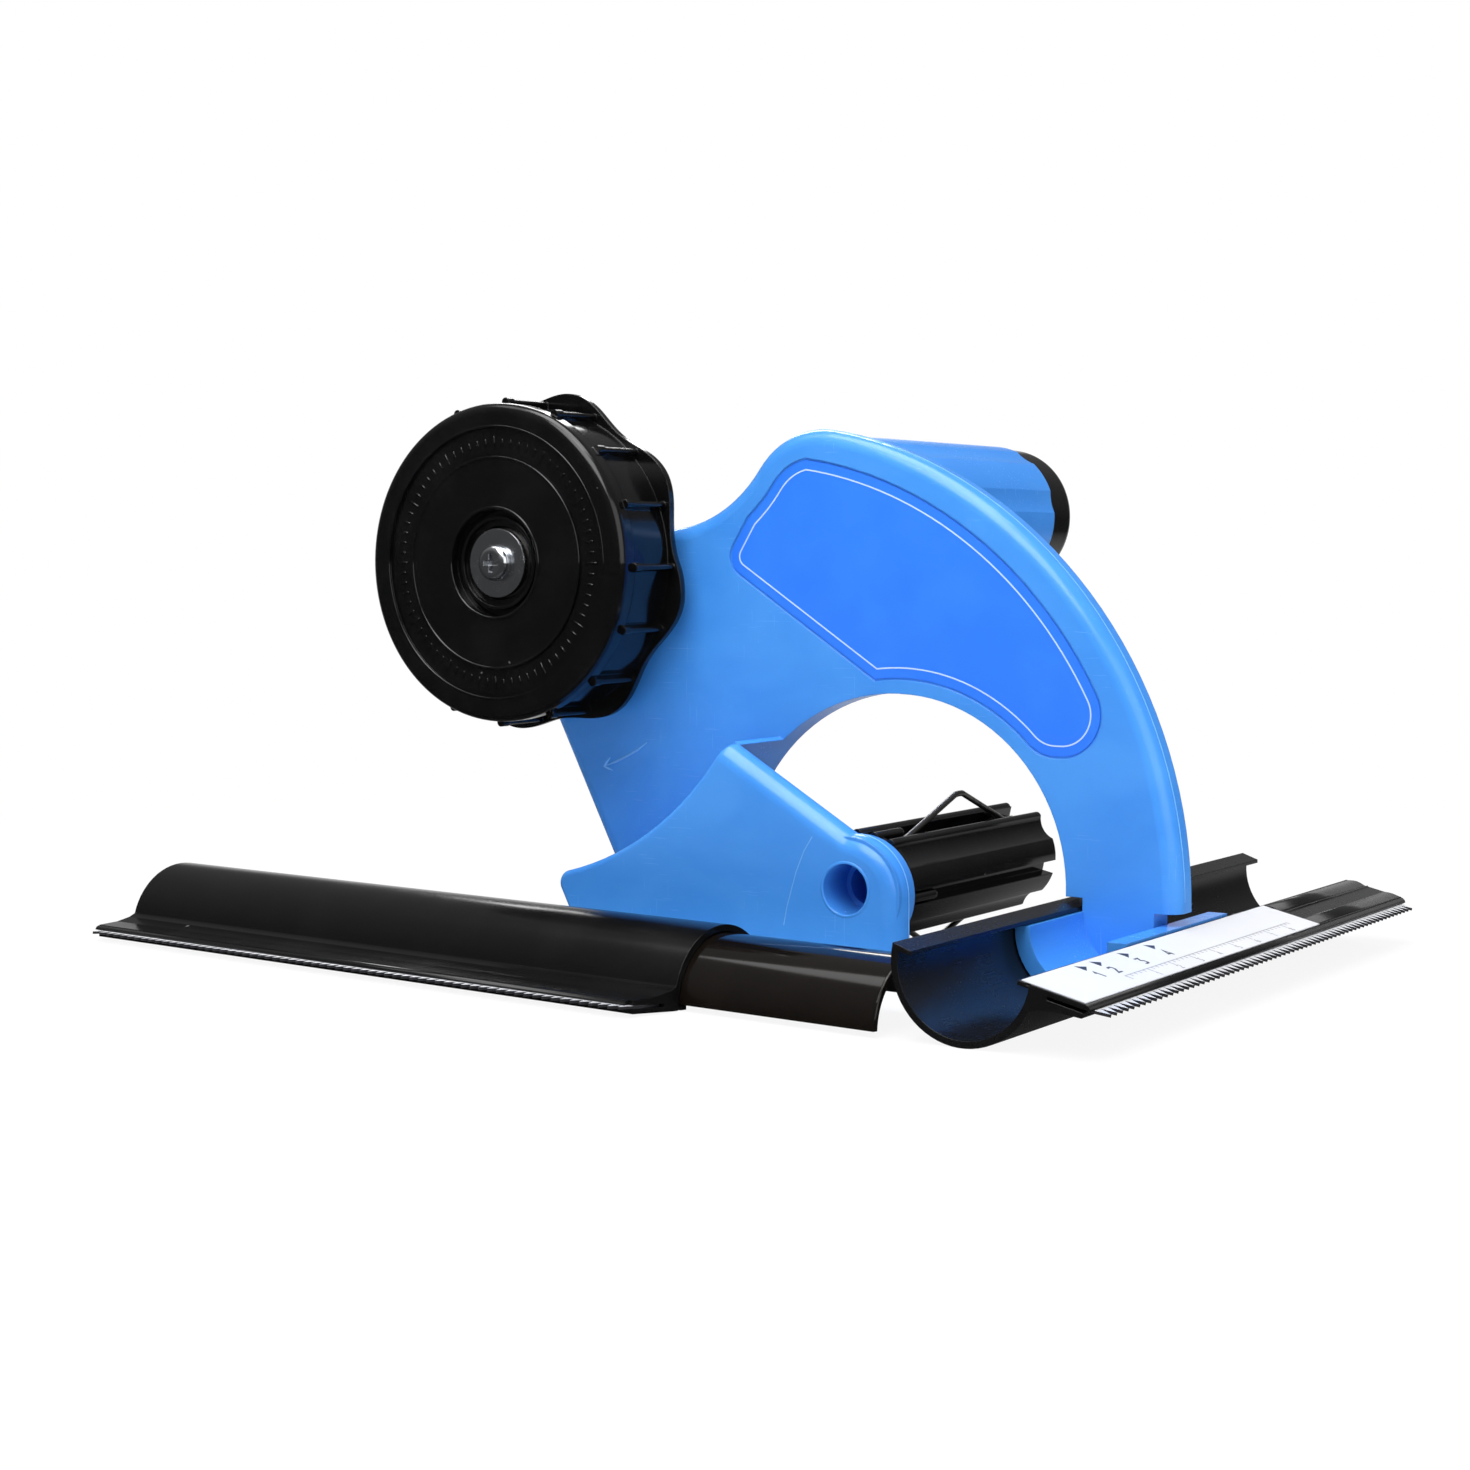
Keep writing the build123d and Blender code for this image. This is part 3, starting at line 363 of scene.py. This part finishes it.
def directions(line, step):
    """The directions into and out of a point of an open line, and the one between them."""
    here = Vector(line[step])
    before = Vector(line[max(step - 1, 0)])
    after = Vector(line[min(step + 1, len(line) - 1)])
    way_in = (here - before if step else after - here).normalized()
    way_out = (after - here if step < len(line) - 1 else here - before).normalized()
    return way_in, (way_in + way_out).normalized()


def mitre(way_in, way, reach):
    """The step sideways that keeps a line's edge at a distance round a corner."""
    return Vector((-way.y, way.x)) * (reach / max(way.dot(way_in), 0.4))


def ribbon(line, width):
    """An open line of points, given a width and mitred corners, as one outline."""
    left, right = [], []
    for step, point in enumerate(line):
        side = mitre(*directions(line, step), width / 2)
        left.append(Vector(point) + side)
        right.append(Vector(point) - side)
    return [tuple(point) for point in left + right[::-1]]


def inset(outline, reach):
    """A closed outline moved inwards."""
    following = outline[1:] + outline[:1]
    area = sum(a[0] * b[1] - b[0] * a[1] for a, b in zip(outline, following))
    moved = []
    for step, point in enumerate(outline):
        here = Vector(point)
        way_in = (here - Vector(outline[step - 1])).normalized()
        way_out = (Vector(following[step]) - here).normalized()
        inwards = mitre(way_in, (way_in + way_out).normalized(), reach)
        moved.append(tuple(here + inwards * (1 if area > 0 else -1)))
    return moved


def prisms(outlines, place, low, high):
    """Flat outlines made solid between two heights, each its own closed body."""
    shape = bmesh.new()
    for outline in outlines:
        levels = []
        for height in (low, high):
            corners = [place @ Vector((u * MM, v * MM, height * MM)) for u, v in outline]
            levels.append([shape.verts.new(corner) for corner in corners])
        bottom, top = levels
        shape.faces.new(bottom[::-1])
        shape.faces.new(top)
        for step in range(len(outline)):
            after = (step + 1) % len(outline)
            shape.faces.new((bottom[step], bottom[after], top[after], top[step]))
    return finished_mesh(shape)


def tubes(paths, radius):
    """Round beads along lines of points, narrowed and closed at their ends."""
    shape = bmesh.new()
    for path in paths:
        add_tube(shape, path, radius)
    for face in shape.faces:
        face.smooth = len(face.verts) == 4
    return finished_mesh(shape)


def add_tube(shape, path, radius):
    sides = 10
    end_share = 0.4
    rings = []
    points = [Vector(point) * MM for point in path]
    last = len(points) - 1
    for step, point in enumerate(points):
        way = (points[min(step + 1, last)] - points[max(step - 1, 0)]).normalized()
        across = way.orthogonal() if not rings else (across - way * across.dot(way))
        across.normalize()
        other = way.cross(across)
        size = radius * MM * (end_share if step in (0, last) else 1.0)
        turns = [2 * math.pi * side / sides for side in range(sides)]
        rings.append([shape.verts.new(point + (across * math.cos(t) + other * math.sin(t)) * size)
                      for t in turns])
    for ring, after in zip(rings, rings[1:]):
        for side in range(sides):
            shape.faces.new((ring[side], ring[side - 1], after[side - 1], after[side]))
    shape.faces.new(rings[0])
    shape.faces.new(rings[-1][::-1])


def lathe(section, centre):
    """A ring about a line along Y, from its closed section of (radius, y) points."""
    sides = 96
    shape = bmesh.new()
    rings = []
    for side in range(sides):
        turn = 2 * math.pi * side / sides
        places = [(centre[0] + r * math.cos(turn), centre[1] + y, centre[2] + r * math.sin(turn))
                  for r, y in section]
        rings.append([shape.verts.new(Vector(place) * MM) for place in places])
    for side in range(sides):
        ring, after = rings[side - 1], rings[side]
        for step in range(len(section)):
            face = shape.faces.new((ring[step], ring[step - 1], after[step - 1], after[step]))
            face.smooth = True
    return finished_mesh(shape)


def along_flange(place, section, near, far, smooth):
    """A strip along a flange, from its section of (across, height) points. Its faces up to the
    point numbered smooth are shaded as one curve."""
    shape = bmesh.new()
    ends = [[shape.verts.new(place @ Vector((across * MM, along * MM, height * MM)))
             for across, height in section] for along in (near, far)]
    for step in range(len(section)):
        face = shape.faces.new((ends[0][step - 1], ends[0][step], ends[1][step], ends[1][step - 1]))
        face.smooth = 1 <= step < smooth
    shape.faces.new(ends[0])
    shape.faces.new(ends[1][::-1])
    return finished_mesh(shape)


def axes_at(origin, across, along, up):
    """A placement from the three directions of a flat mark and where its zero is."""
    turn = Matrix((across, along, up)).transposed().to_4x4()
    return Matrix.Translation(Vector(origin) * MM) @ turn


def facing_viewer(y):
    return axes_at((0, y, 0), (1, 0, 0), (0, 0, 1), (0, -1, 0))


def flange_axes(x, z):
    """A placement on a flange's top: across it, along it and away from it."""
    tilt = math.radians(FLANGE_SLOPE)
    outward, up = (math.cos(tilt), 0, -math.sin(tilt)), (math.sin(tilt), 0, math.cos(tilt))
    return axes_at((x, 0, z), outward, (0, 1, 0), up)


def on_circle(centre, radius, angle):
    turn = math.radians(angle)
    return centre[0] + radius * math.cos(turn), centre[1] + radius * math.sin(turn)


# Marks and ridges on the blade's flange

ON_FLANGE = flange_axes(FLANGE_X, FLANGE_Z)
CROWN_STEPS = 12

# The strokes of plain numbers, in shares of their height
DIGIT_SHARES = {
    1: [(0.1, 0.75), (0.35, 1), (0.35, 0)],
    2: [(0, 0.85), (0.12, 1), (0.5, 1), (0.6, 0.85), (0.6, 0.62), (0, 0), (0.62, 0)],
    3: [(0, 1), (0.6, 1), (0.3, 0.6), (0.6, 0.42), (0.6, 0.12), (0.45, 0), (0, 0)],
    4: [(0.62, 0.3), (0, 0.3), (0.45, 1), (0.45, 0)],
    5: [(0.6, 1), (0.05, 1), (0.05, 0.6), (0.45, 0.6), (0.6, 0.45), (0.6, 0.12), (0.45, 0),
        (0, 0)],
    6: [(0.5, 1), (0.1, 0.6), (0, 0.3), (0.12, 0), (0.48, 0), (0.6, 0.2), (0.5, 0.5), (0.1, 0.5)],
    7: [(0, 1), (0.6, 1), (0.2, 0)],
    8: [(0.3, 0.55), (0.05, 0.8), (0.3, 1), (0.55, 0.8), (0.3, 0.55), (0, 0.25), (0.3, 0),
        (0.6, 0.25), (0.32, 0.52)],
}


def numeral(number, along, across, height, weight):
    """A plain number on the flange's sticker, its foot towards the cutting edge."""
    placed = [(across - v * height, along + u * height) for u, v in DIGIT_SHARES[number]]
    return ribbon(placed, weight)


def index_marks():
    """Four numbered triangles on the white sticker, each pointing along the flange."""
    inner, outer, length = 1.4, 4.2, 2.6
    number_foot = 7.9
    marks = []
    for number, start in enumerate((-29.75, -23.2, -10.6, 2.0), start=1):
        tip = ((inner + outer) / 2, start + length)
        marks.append([(inner, start), (outer, start), tip])
        marks.append(numeral(number, start, number_foot, height=2.6, weight=0.5))
    mesh = prisms(marks, ON_FLANGE, STICKER_TOP, 0.22)
    new_piece("flange_index_marks", mesh, INK, "blade")


def rule_marks():
    """A faint rule with every fifth line longer, and numbers at eight of those."""
    first, pitch, count = -24.0, 2.0, 43
    baseline, short_end, long_end, number_foot = 9.6, 10.5, 11.4, 13.2
    stroke = 0.3
    marks = []
    for step in range(count):
        along = first + pitch * step
        number, rest = divmod(step, 5)
        end = short_end if rest else long_end
        marks.append(ribbon([(baseline, along), (end, along)], stroke))
        if not rest and number in DIGIT_SHARES:
            marks.append(numeral(number, along - 0.5, number_foot, height=1.5, weight=stroke))
    last = first + pitch * (count - 1)
    marks.append(ribbon([(baseline, first - stroke / 2), (baseline, last + stroke / 2)], 0.22))
    mesh = prisms(marks, ON_FLANGE, STICKER_TOP, 0.215)
    new_piece("flange_rule_marks", mesh, FAINT_INK, "blade")


def crown(first, last, rise):
    """The section of a low rounded ridge between two places across the flange."""
    root = -0.2
    section = []
    for step in range(CROWN_STEPS + 1):
        share = step / CROWN_STEPS
        section.append((first + (last - first) * share, rise * math.sin(math.pi * share)))
    return section + [(last, root), (first, root)]


def flange_ridges():
    """The extrusion's crowned edges and fine ridge, where the sticker leaves them bare."""
    for name, first, last, rise in (("flange_inner_crown", 0.35, 4.7, 0.42),
                                    ("flange_fine_ridge", 5.1, 5.6, 0.2),
                                    ("flange_outer_crown", 9.6, 13.5, 0.2)):
        mesh = along_flange(ON_FLANGE, crown(first, last, rise), STICKER_FAR, FLANGE_FAR,
                            CROWN_STEPS + 1)
        new_piece(name, mesh, EXTRUDED, "blade")


def steel_lips():
    """The rounded lips of the flanges that hold the toothed strips."""
    root, depth = 13.2, -1.06
    bend = [(root, -0.03), (13.8, -0.04), (14.4, -0.14), (14.9, -0.4), (15.15, -0.75),
            (15.2, depth)]
    section = bend + [(root, depth)]
    turned = [(across, -FLANGE_THICKNESS - height) for across, height in section]
    loose = LAID_DOWN @ flange_axes(LOOSE_FLANGE_X, LOOSE_FLANGE_Z)
    mesh = along_flange(ON_FLANGE, section, FLANGE_NEAR, FLANGE_FAR, len(bend))
    new_piece("blade_steel_lip", mesh, EXTRUDED, "blade")
    mesh = along_flange(loose, turned, LOOSE_NEAR, LOOSE_FAR, len(bend))
    new_piece("extension_steel_lip", mesh, EXTRUDED_LOOSE, "extension")


def sleeve_lip():
    """The rolled edge at the open end of the joining sleeve."""
    path = []
    for angle in range(190, 344, 3):
        x, z = on_circle((0, 0), SLEEVE_RADIUS, angle)
        path.append((LAID_DOWN @ (Vector((x, SLEEVE_END, z)) * MM)) / MM)
    mesh = tubes([path], radius=0.6)
    new_piece("sleeve_end_lip", mesh, SLEEVE, "joining_sleeve")


# The spindle's springs and the hub's face

def rounded(corners, reach):
    """A line of points with its inner corners rounded off."""
    steps = 6
    line = [corners[0], corners[0].lerp(corners[1], 0.15)]
    for before, corner, after in zip(corners, corners[1:], corners[2:]):
        start = corner + (before - corner).normalized() * reach
        end = corner + (after - corner).normalized() * reach
        for step in range(steps + 1):
            share = step / steps
            line.append(start.lerp(corner, share).lerp(corner.lerp(end, share), share))
    return line + [corners[-1].lerp(corners[-2], 0.1), corners[-1]]


def spindle_springs():
    """The bent wires in the spindle's slots."""
    for name, angle in SPRING_TURNS:
        turn = math.radians(angle)
        way = Vector((math.cos(turn), 0, math.sin(turn)))
        corners = [way * height + Vector((0, y, 0)) for height, y in SPRING_BENDS]
        mesh = tubes([rounded(corners, SPRING_BEND_REACH)], radius=SPRING_WIRE_RADIUS)
        piece = new_piece("spring_wire_" + name, mesh, WIRE, "paper_spindle")
        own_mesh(piece)
        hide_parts("spindle_spring_" + name)


def hub_ticks():
    """A plain ring of raised ticks on the hub's face, every sixth one longer."""
    y, bevel, count = -2.6, 0.25, 72
    ticks = []
    for step in range(count):
        inner, outer = (26.2, 29.4) if step % 6 == 0 else (26.8, 28.8)
        tick = []
        for radius in (inner, inner + bevel, outer - bevel, outer):
            x, z = on_circle((HUB_X, HUB_Z), radius, step * 360 / count)
            tick.append((x, y, z))
        ticks.append(tick)
    new_piece("hub_tick_ring", tubes(ticks, radius=0.3), GLOSS, "tape_hub")


def hub_lips():
    """The rolled lips of the steps in the hub's face."""
    for name, radius, y, size in (("hub_step_lip", 24.4, HUB_FACE_Y, 0.4),
                                  ("hub_recess_lip", 12.8, HUB_FACE_Y, 0.45),
                                  ("hub_rim_lip", 31.5, -3.3, 0.35)):
        section = [on_circle((radius, y), size, angle) for angle in range(0, 360, 30)]
        mesh = lathe(section, (HUB_X, 0, HUB_Z))
        new_piece(name, mesh, GLOSS, "tape_hub")


# Moulded marks on the frame

# Marks on the frame take the paler blue of painted highlight unless given another finish
def on_frame(name, mesh, finish=HIGHLIGHT_PALE_BLUE):
    new_piece(name, mesh, finish, "frame")


def feed_arrow():
    """A small arrow on the plate, along the way that the tape feeds, in the paler blue of painted
    highlight.
    """
    shaft = [(-68.2, 27.5), (-70.9, 25.6), (-74.2, 23.9), (-77.2, 22.6), (-80.4, 21.4)]
    barbs = [(-78.9, 23.5), (-80.0, 22.2), (-80.7, 21.3), (-79.5, 20.8), (-78.2, 20.4)]
    for name, line in (("feed_arrow_shaft", shaft), ("feed_arrow_head", barbs)):
        on_frame(name, tubes([[(x, PLATE_Y, z) for x, z in line]], radius=0.26))


def arch_edge():
    """The arch's outer edge, from the foot of its leg over the top to the hub."""
    edge = []
    for centre, radius, angles in (((-37.2, -2.8), 103.94, range(1, 80, 3)),
                                   ((-22.25, 80.2), 19.6, range(80, 145, 3)),
                                   ((-65.28, 110.46), 33.0, range(-36, -84, -3))):
        for angle in angles:
            x, z = on_circle(centre, radius, angle)
            edge.append((x, ARCH_EDGE_Y, z))
    return edge


def boss_edge():
    """The bracket's edge over the boss and down to its foot."""
    around = [on_circle((0, BOSS_Z), BOSS_RADIUS, angle) for angle in range(88, -1, -4)]
    down = [(BOSS_RADIUS, z) for z in (-4.0, -8.0, -12.0)]
    return [(x, PARTING_Y, z) for x, z in around + down]


def moulding_lines():
    """The mould's parting beads, painted pale as highlight, a flow line on the bracket in the same
    pale blue, and the rolled rim of the bore.
    """
    flow = [(-8.3, 10.9), (-10.4, 7.6), (-12.4, 2.9), (-13.8, -1.8), (-14.7, -4.9), (-15.5, -8.9)]
    rim = [(5.5, 0.35), (5.5, -0.04), (5.6, -0.12), (5.8, -0.15), (6.0, -0.1), (6.15, 0.0),
           (6.15, 0.35)]
    on_frame("boss_parting_bead", tubes([boss_edge()], radius=0.14))
    on_frame("bracket_flow_line", prisms([ribbon(flow, 0.2)], facing_viewer(0), -0.05, 0.02))
    on_frame("arch_parting_bead", tubes([arch_edge()], radius=0.13))
    on_frame("bore_rim", lathe(rim, (0, 0, 0)), BLUE)


def front_outline(node):
    """The outline of a flat node's face towards the viewer, as (x, z) points, and its y."""
    shape = bmesh.new()
    shape.from_mesh(nodes[node].data)
    bmesh.ops.remove_doubles(shape, verts=shape.verts, dist=0.01 * MM)
    low = min(vert.co.y for vert in shape.verts)
    limit = low + 0.05 * MM
    front = [face for face in shape.faces if all(vert.co.y < limit for vert in face.verts)]
    chosen = set(front)
    following = {}
    for face in front:
        for loop in face.loops:
            if not any(other in chosen and other is not face for other in loop.edge.link_faces):
                following[loop.vert] = loop.link_loop_next.vert
    start = here = next(iter(following))
    outline = []
    while True:
        outline.append((here.co.x / MM, here.co.z / MM))
        here = following[here]
        if here is start:
            break
    shape.free()
    return outline, low / MM


def label_keyline():
    """A thin plain line just inside the edge of the arch's sticker."""
    buried, raised = -0.02, 0.025
    outline, front_y = front_outline("main_label")
    outer, inner = inset(outline, 2.0), inset(outline, 2.32)
    shape = bmesh.new()
    place = facing_viewer(front_y)
    rings = []
    for line, height in ((outer, buried), (outer, raised), (inner, raised), (inner, buried)):
        corners = [place @ Vector((x * MM, z * MM, height * MM)) for x, z in line]
        rings.append([shape.verts.new(corner) for corner in corners])
    for step in range(len(outline)):
        for ring, after in zip(rings, rings[1:] + rings[:1]):
            shape.faces.new((ring[step - 1], ring[step], after[step], after[step - 1]))
    new_piece("label_keyline", finished_mesh(shape), KEYLINE, "frame")


index_marks()
rule_marks()
flange_ridges()
steel_lips()
sleeve_lip()
spindle_springs()
hub_ticks()
hub_lips()
feed_arrow()
moulding_lines()
label_keyline()


# Studio, in metres

CAMERA_PLACE = (0.27918, -0.47085, 0.07198)
CAMERA_RIGHT = (0.8374, 0.5467, 0.0)
CAMERA_FORWARD = (-0.5453, 0.8353, -0.0706)
FOCAL_LENGTH = 62.79
SENSOR_WIDTH = 36.0
FLOOR_REACH = 6.0

# How far from the frame's origin the floor goes over to the background's white, in millimetres
FLOOR_FADE_START, FLOOR_FADE_END = 150, 450

# Each lamp's name, place, target, size and power
LAMPS = (
    ("top", (-0.05, -0.1, 1.1), (0, 0, 0), (0.8, 0.6), 9.0),
    ("left", (-0.62, -0.22, 1.0), (0, 0, 0), (0.4, 0.25), 0.7),
    ("key", (0.15, -0.75, 1.0), (0, 0, 0.03), (0.9, 0.7), 11.0),
    ("side", (1.0, -0.5, 0.45), (0, 0, 0.03), (1.1, 0.8), 4.5),
    ("back", (-0.7, 0.95, 0.75), (0, 0, 0.03), (0.5, 0.4), 4.5),
)


def floor_material():
    """White near the object, and the background's own white where the camera sees it far off.
    In reflections it glows dimly, more so behind the object and to its left."""
    shade = Shader("floor_white", (0.9, 0.9, 0.9), 0.6)
    shade.set(Specular_IOR_Level=0.2)
    distance = shade.add("ShaderNodeVectorMath", operation="LENGTH")
    shade.link(shade.place, distance.inputs[0])
    far = shade.ramp(distance.outputs["Value"], FLOOR_FADE_START, FLOOR_FADE_END, 0.9, 1.0)
    behind = shade.ramp(shade.along_axis(shade.place, "Y"), 40, 180)
    leftward = shade.ramp(shade.along_axis(shade.place, "X"), 220, 20)
    dim = shade.maths("MULTIPLY", shade.maths("MULTIPLY", behind, leftward), 0.6)
    dim = shade.maths("ADD", dim, 0.05)
    path = shade.add("ShaderNodeLightPath").outputs
    mirrored = shade.maths("MAXIMUM", path["Is Glossy Ray"], path["Is Transmission Ray"])
    seen = shade.maths("MULTIPLY", path["Is Camera Ray"], far)
    glow = shade.add("ShaderNodeEmission")
    blend = shade.add("ShaderNodeMixShader")
    shade.link(shade.maths("MAXIMUM", path["Is Camera Ray"], dim), glow.inputs["Strength"])
    shade.link(shade.maths("MAXIMUM", seen, mirrored), blend.inputs["Fac"])
    shade.link(shade.surface.outputs["BSDF"], blend.inputs[1])
    shade.link(glow.outputs["Emission"], blend.inputs[2])
    shade.link(blend.outputs["Shader"], shade.tree.nodes["Material Output"].inputs["Surface"])
    return shade.material


def make_floor():
    mesh = bpy.data.meshes.new("floor")
    corners = [(x * FLOOR_REACH, y * FLOOR_REACH, FLOOR_Z * MM)
               for x, y in ((-1, -1), (1, -1), (1, 1), (-1, 1))]
    mesh.from_pydata(corners, [], [(0, 1, 2, 3)])
    mesh.materials.append(floor_material())
    floor = bpy.data.objects.new("floor", mesh)
    bpy.context.scene.collection.objects.link(floor)


def make_world():
    """White where it is seen; elsewhere a dim room with a white wall low behind the object."""
    world = bpy.data.worlds.new("studio")
    bpy.context.scene.world = world
    world.use_nodes = True
    tree = world.node_tree
    coordinates = tree.nodes.new("ShaderNodeTexCoord")
    direction = tree.nodes.new("ShaderNodeSeparateXYZ")
    tree.links.new(coordinates.outputs["Generated"], direction.inputs[0])

    def level(axis, start, end, low, high):
        node = tree.nodes.new("ShaderNodeMapRange")
        set_range(node, start, end, low, high)
        tree.links.new(direction.outputs[axis], node.inputs["Value"])
        return node.outputs["Result"]

    def joined(operation, first, second):
        node = tree.nodes.new("ShaderNodeMath")
        node.operation = operation
        tree.links.new(first, node.inputs[0])
        tree.links.new(second, node.inputs[1])
        return node.outputs["Value"]

    behind = level("Y", 0.0, 0.5, 0.0, 0.8)
    below = level("Z", 0.08, 0.3, 1.0, 0.0)
    leftward = level("X", 0.2, -0.15, 0.0, 1.0)
    wall = joined("MULTIPLY", joined("MULTIPLY", behind, below), leftward)
    room = joined("ADD", wall, level("Z", 0.0, 1.0, 0.06, 0.3))
    path = tree.nodes.new("ShaderNodeLightPath")
    strength = tree.nodes.new("ShaderNodeMix")
    unseen, seen = (strength.inputs[slot] for slot in MIX_NUMBERS)
    seen.default_value = 1.0
    tree.links.new(path.outputs["Is Camera Ray"], strength.inputs["Factor"])
    tree.links.new(room, unseen)
    background = tree.nodes["Background"]
    background.inputs["Color"].default_value = (1, 1, 1, 1)
    tree.links.new(strength.outputs[MIXED_NUMBER], background.inputs["Strength"])


def area_light(name, place, target, size, power):
    lamp = bpy.data.lights.new(name, "AREA")
    lamp.shape = "RECTANGLE"
    lamp.size, lamp.size_y = size
    lamp.energy = power
    light = bpy.data.objects.new(name, lamp)
    light.location = place
    light.rotation_euler = (Vector(target) - Vector(place)).to_track_quat("-Z", "Y").to_euler()
    bpy.context.scene.collection.objects.link(light)


def make_camera():
    """The photograph's own viewpoint and lens."""
    lens = bpy.data.cameras.new("camera")
    lens.sensor_width = SENSOR_WIDTH
    lens.lens = FOCAL_LENGTH
    camera = bpy.data.objects.new("camera", lens)
    right = Vector(CAMERA_RIGHT).normalized()
    forward = Vector(CAMERA_FORWARD).normalized()
    turn = Matrix((right, right.cross(forward), -forward)).transposed()
    camera.matrix_world = Matrix.Translation(CAMERA_PLACE) @ turn.to_4x4()
    bpy.context.scene.collection.objects.link(camera)
    bpy.context.scene.camera = camera


make_floor()
make_world()
for lamp in LAMPS:
    area_light(*lamp)
make_camera()
bpy.context.scene.view_settings.view_transform = "Standard"
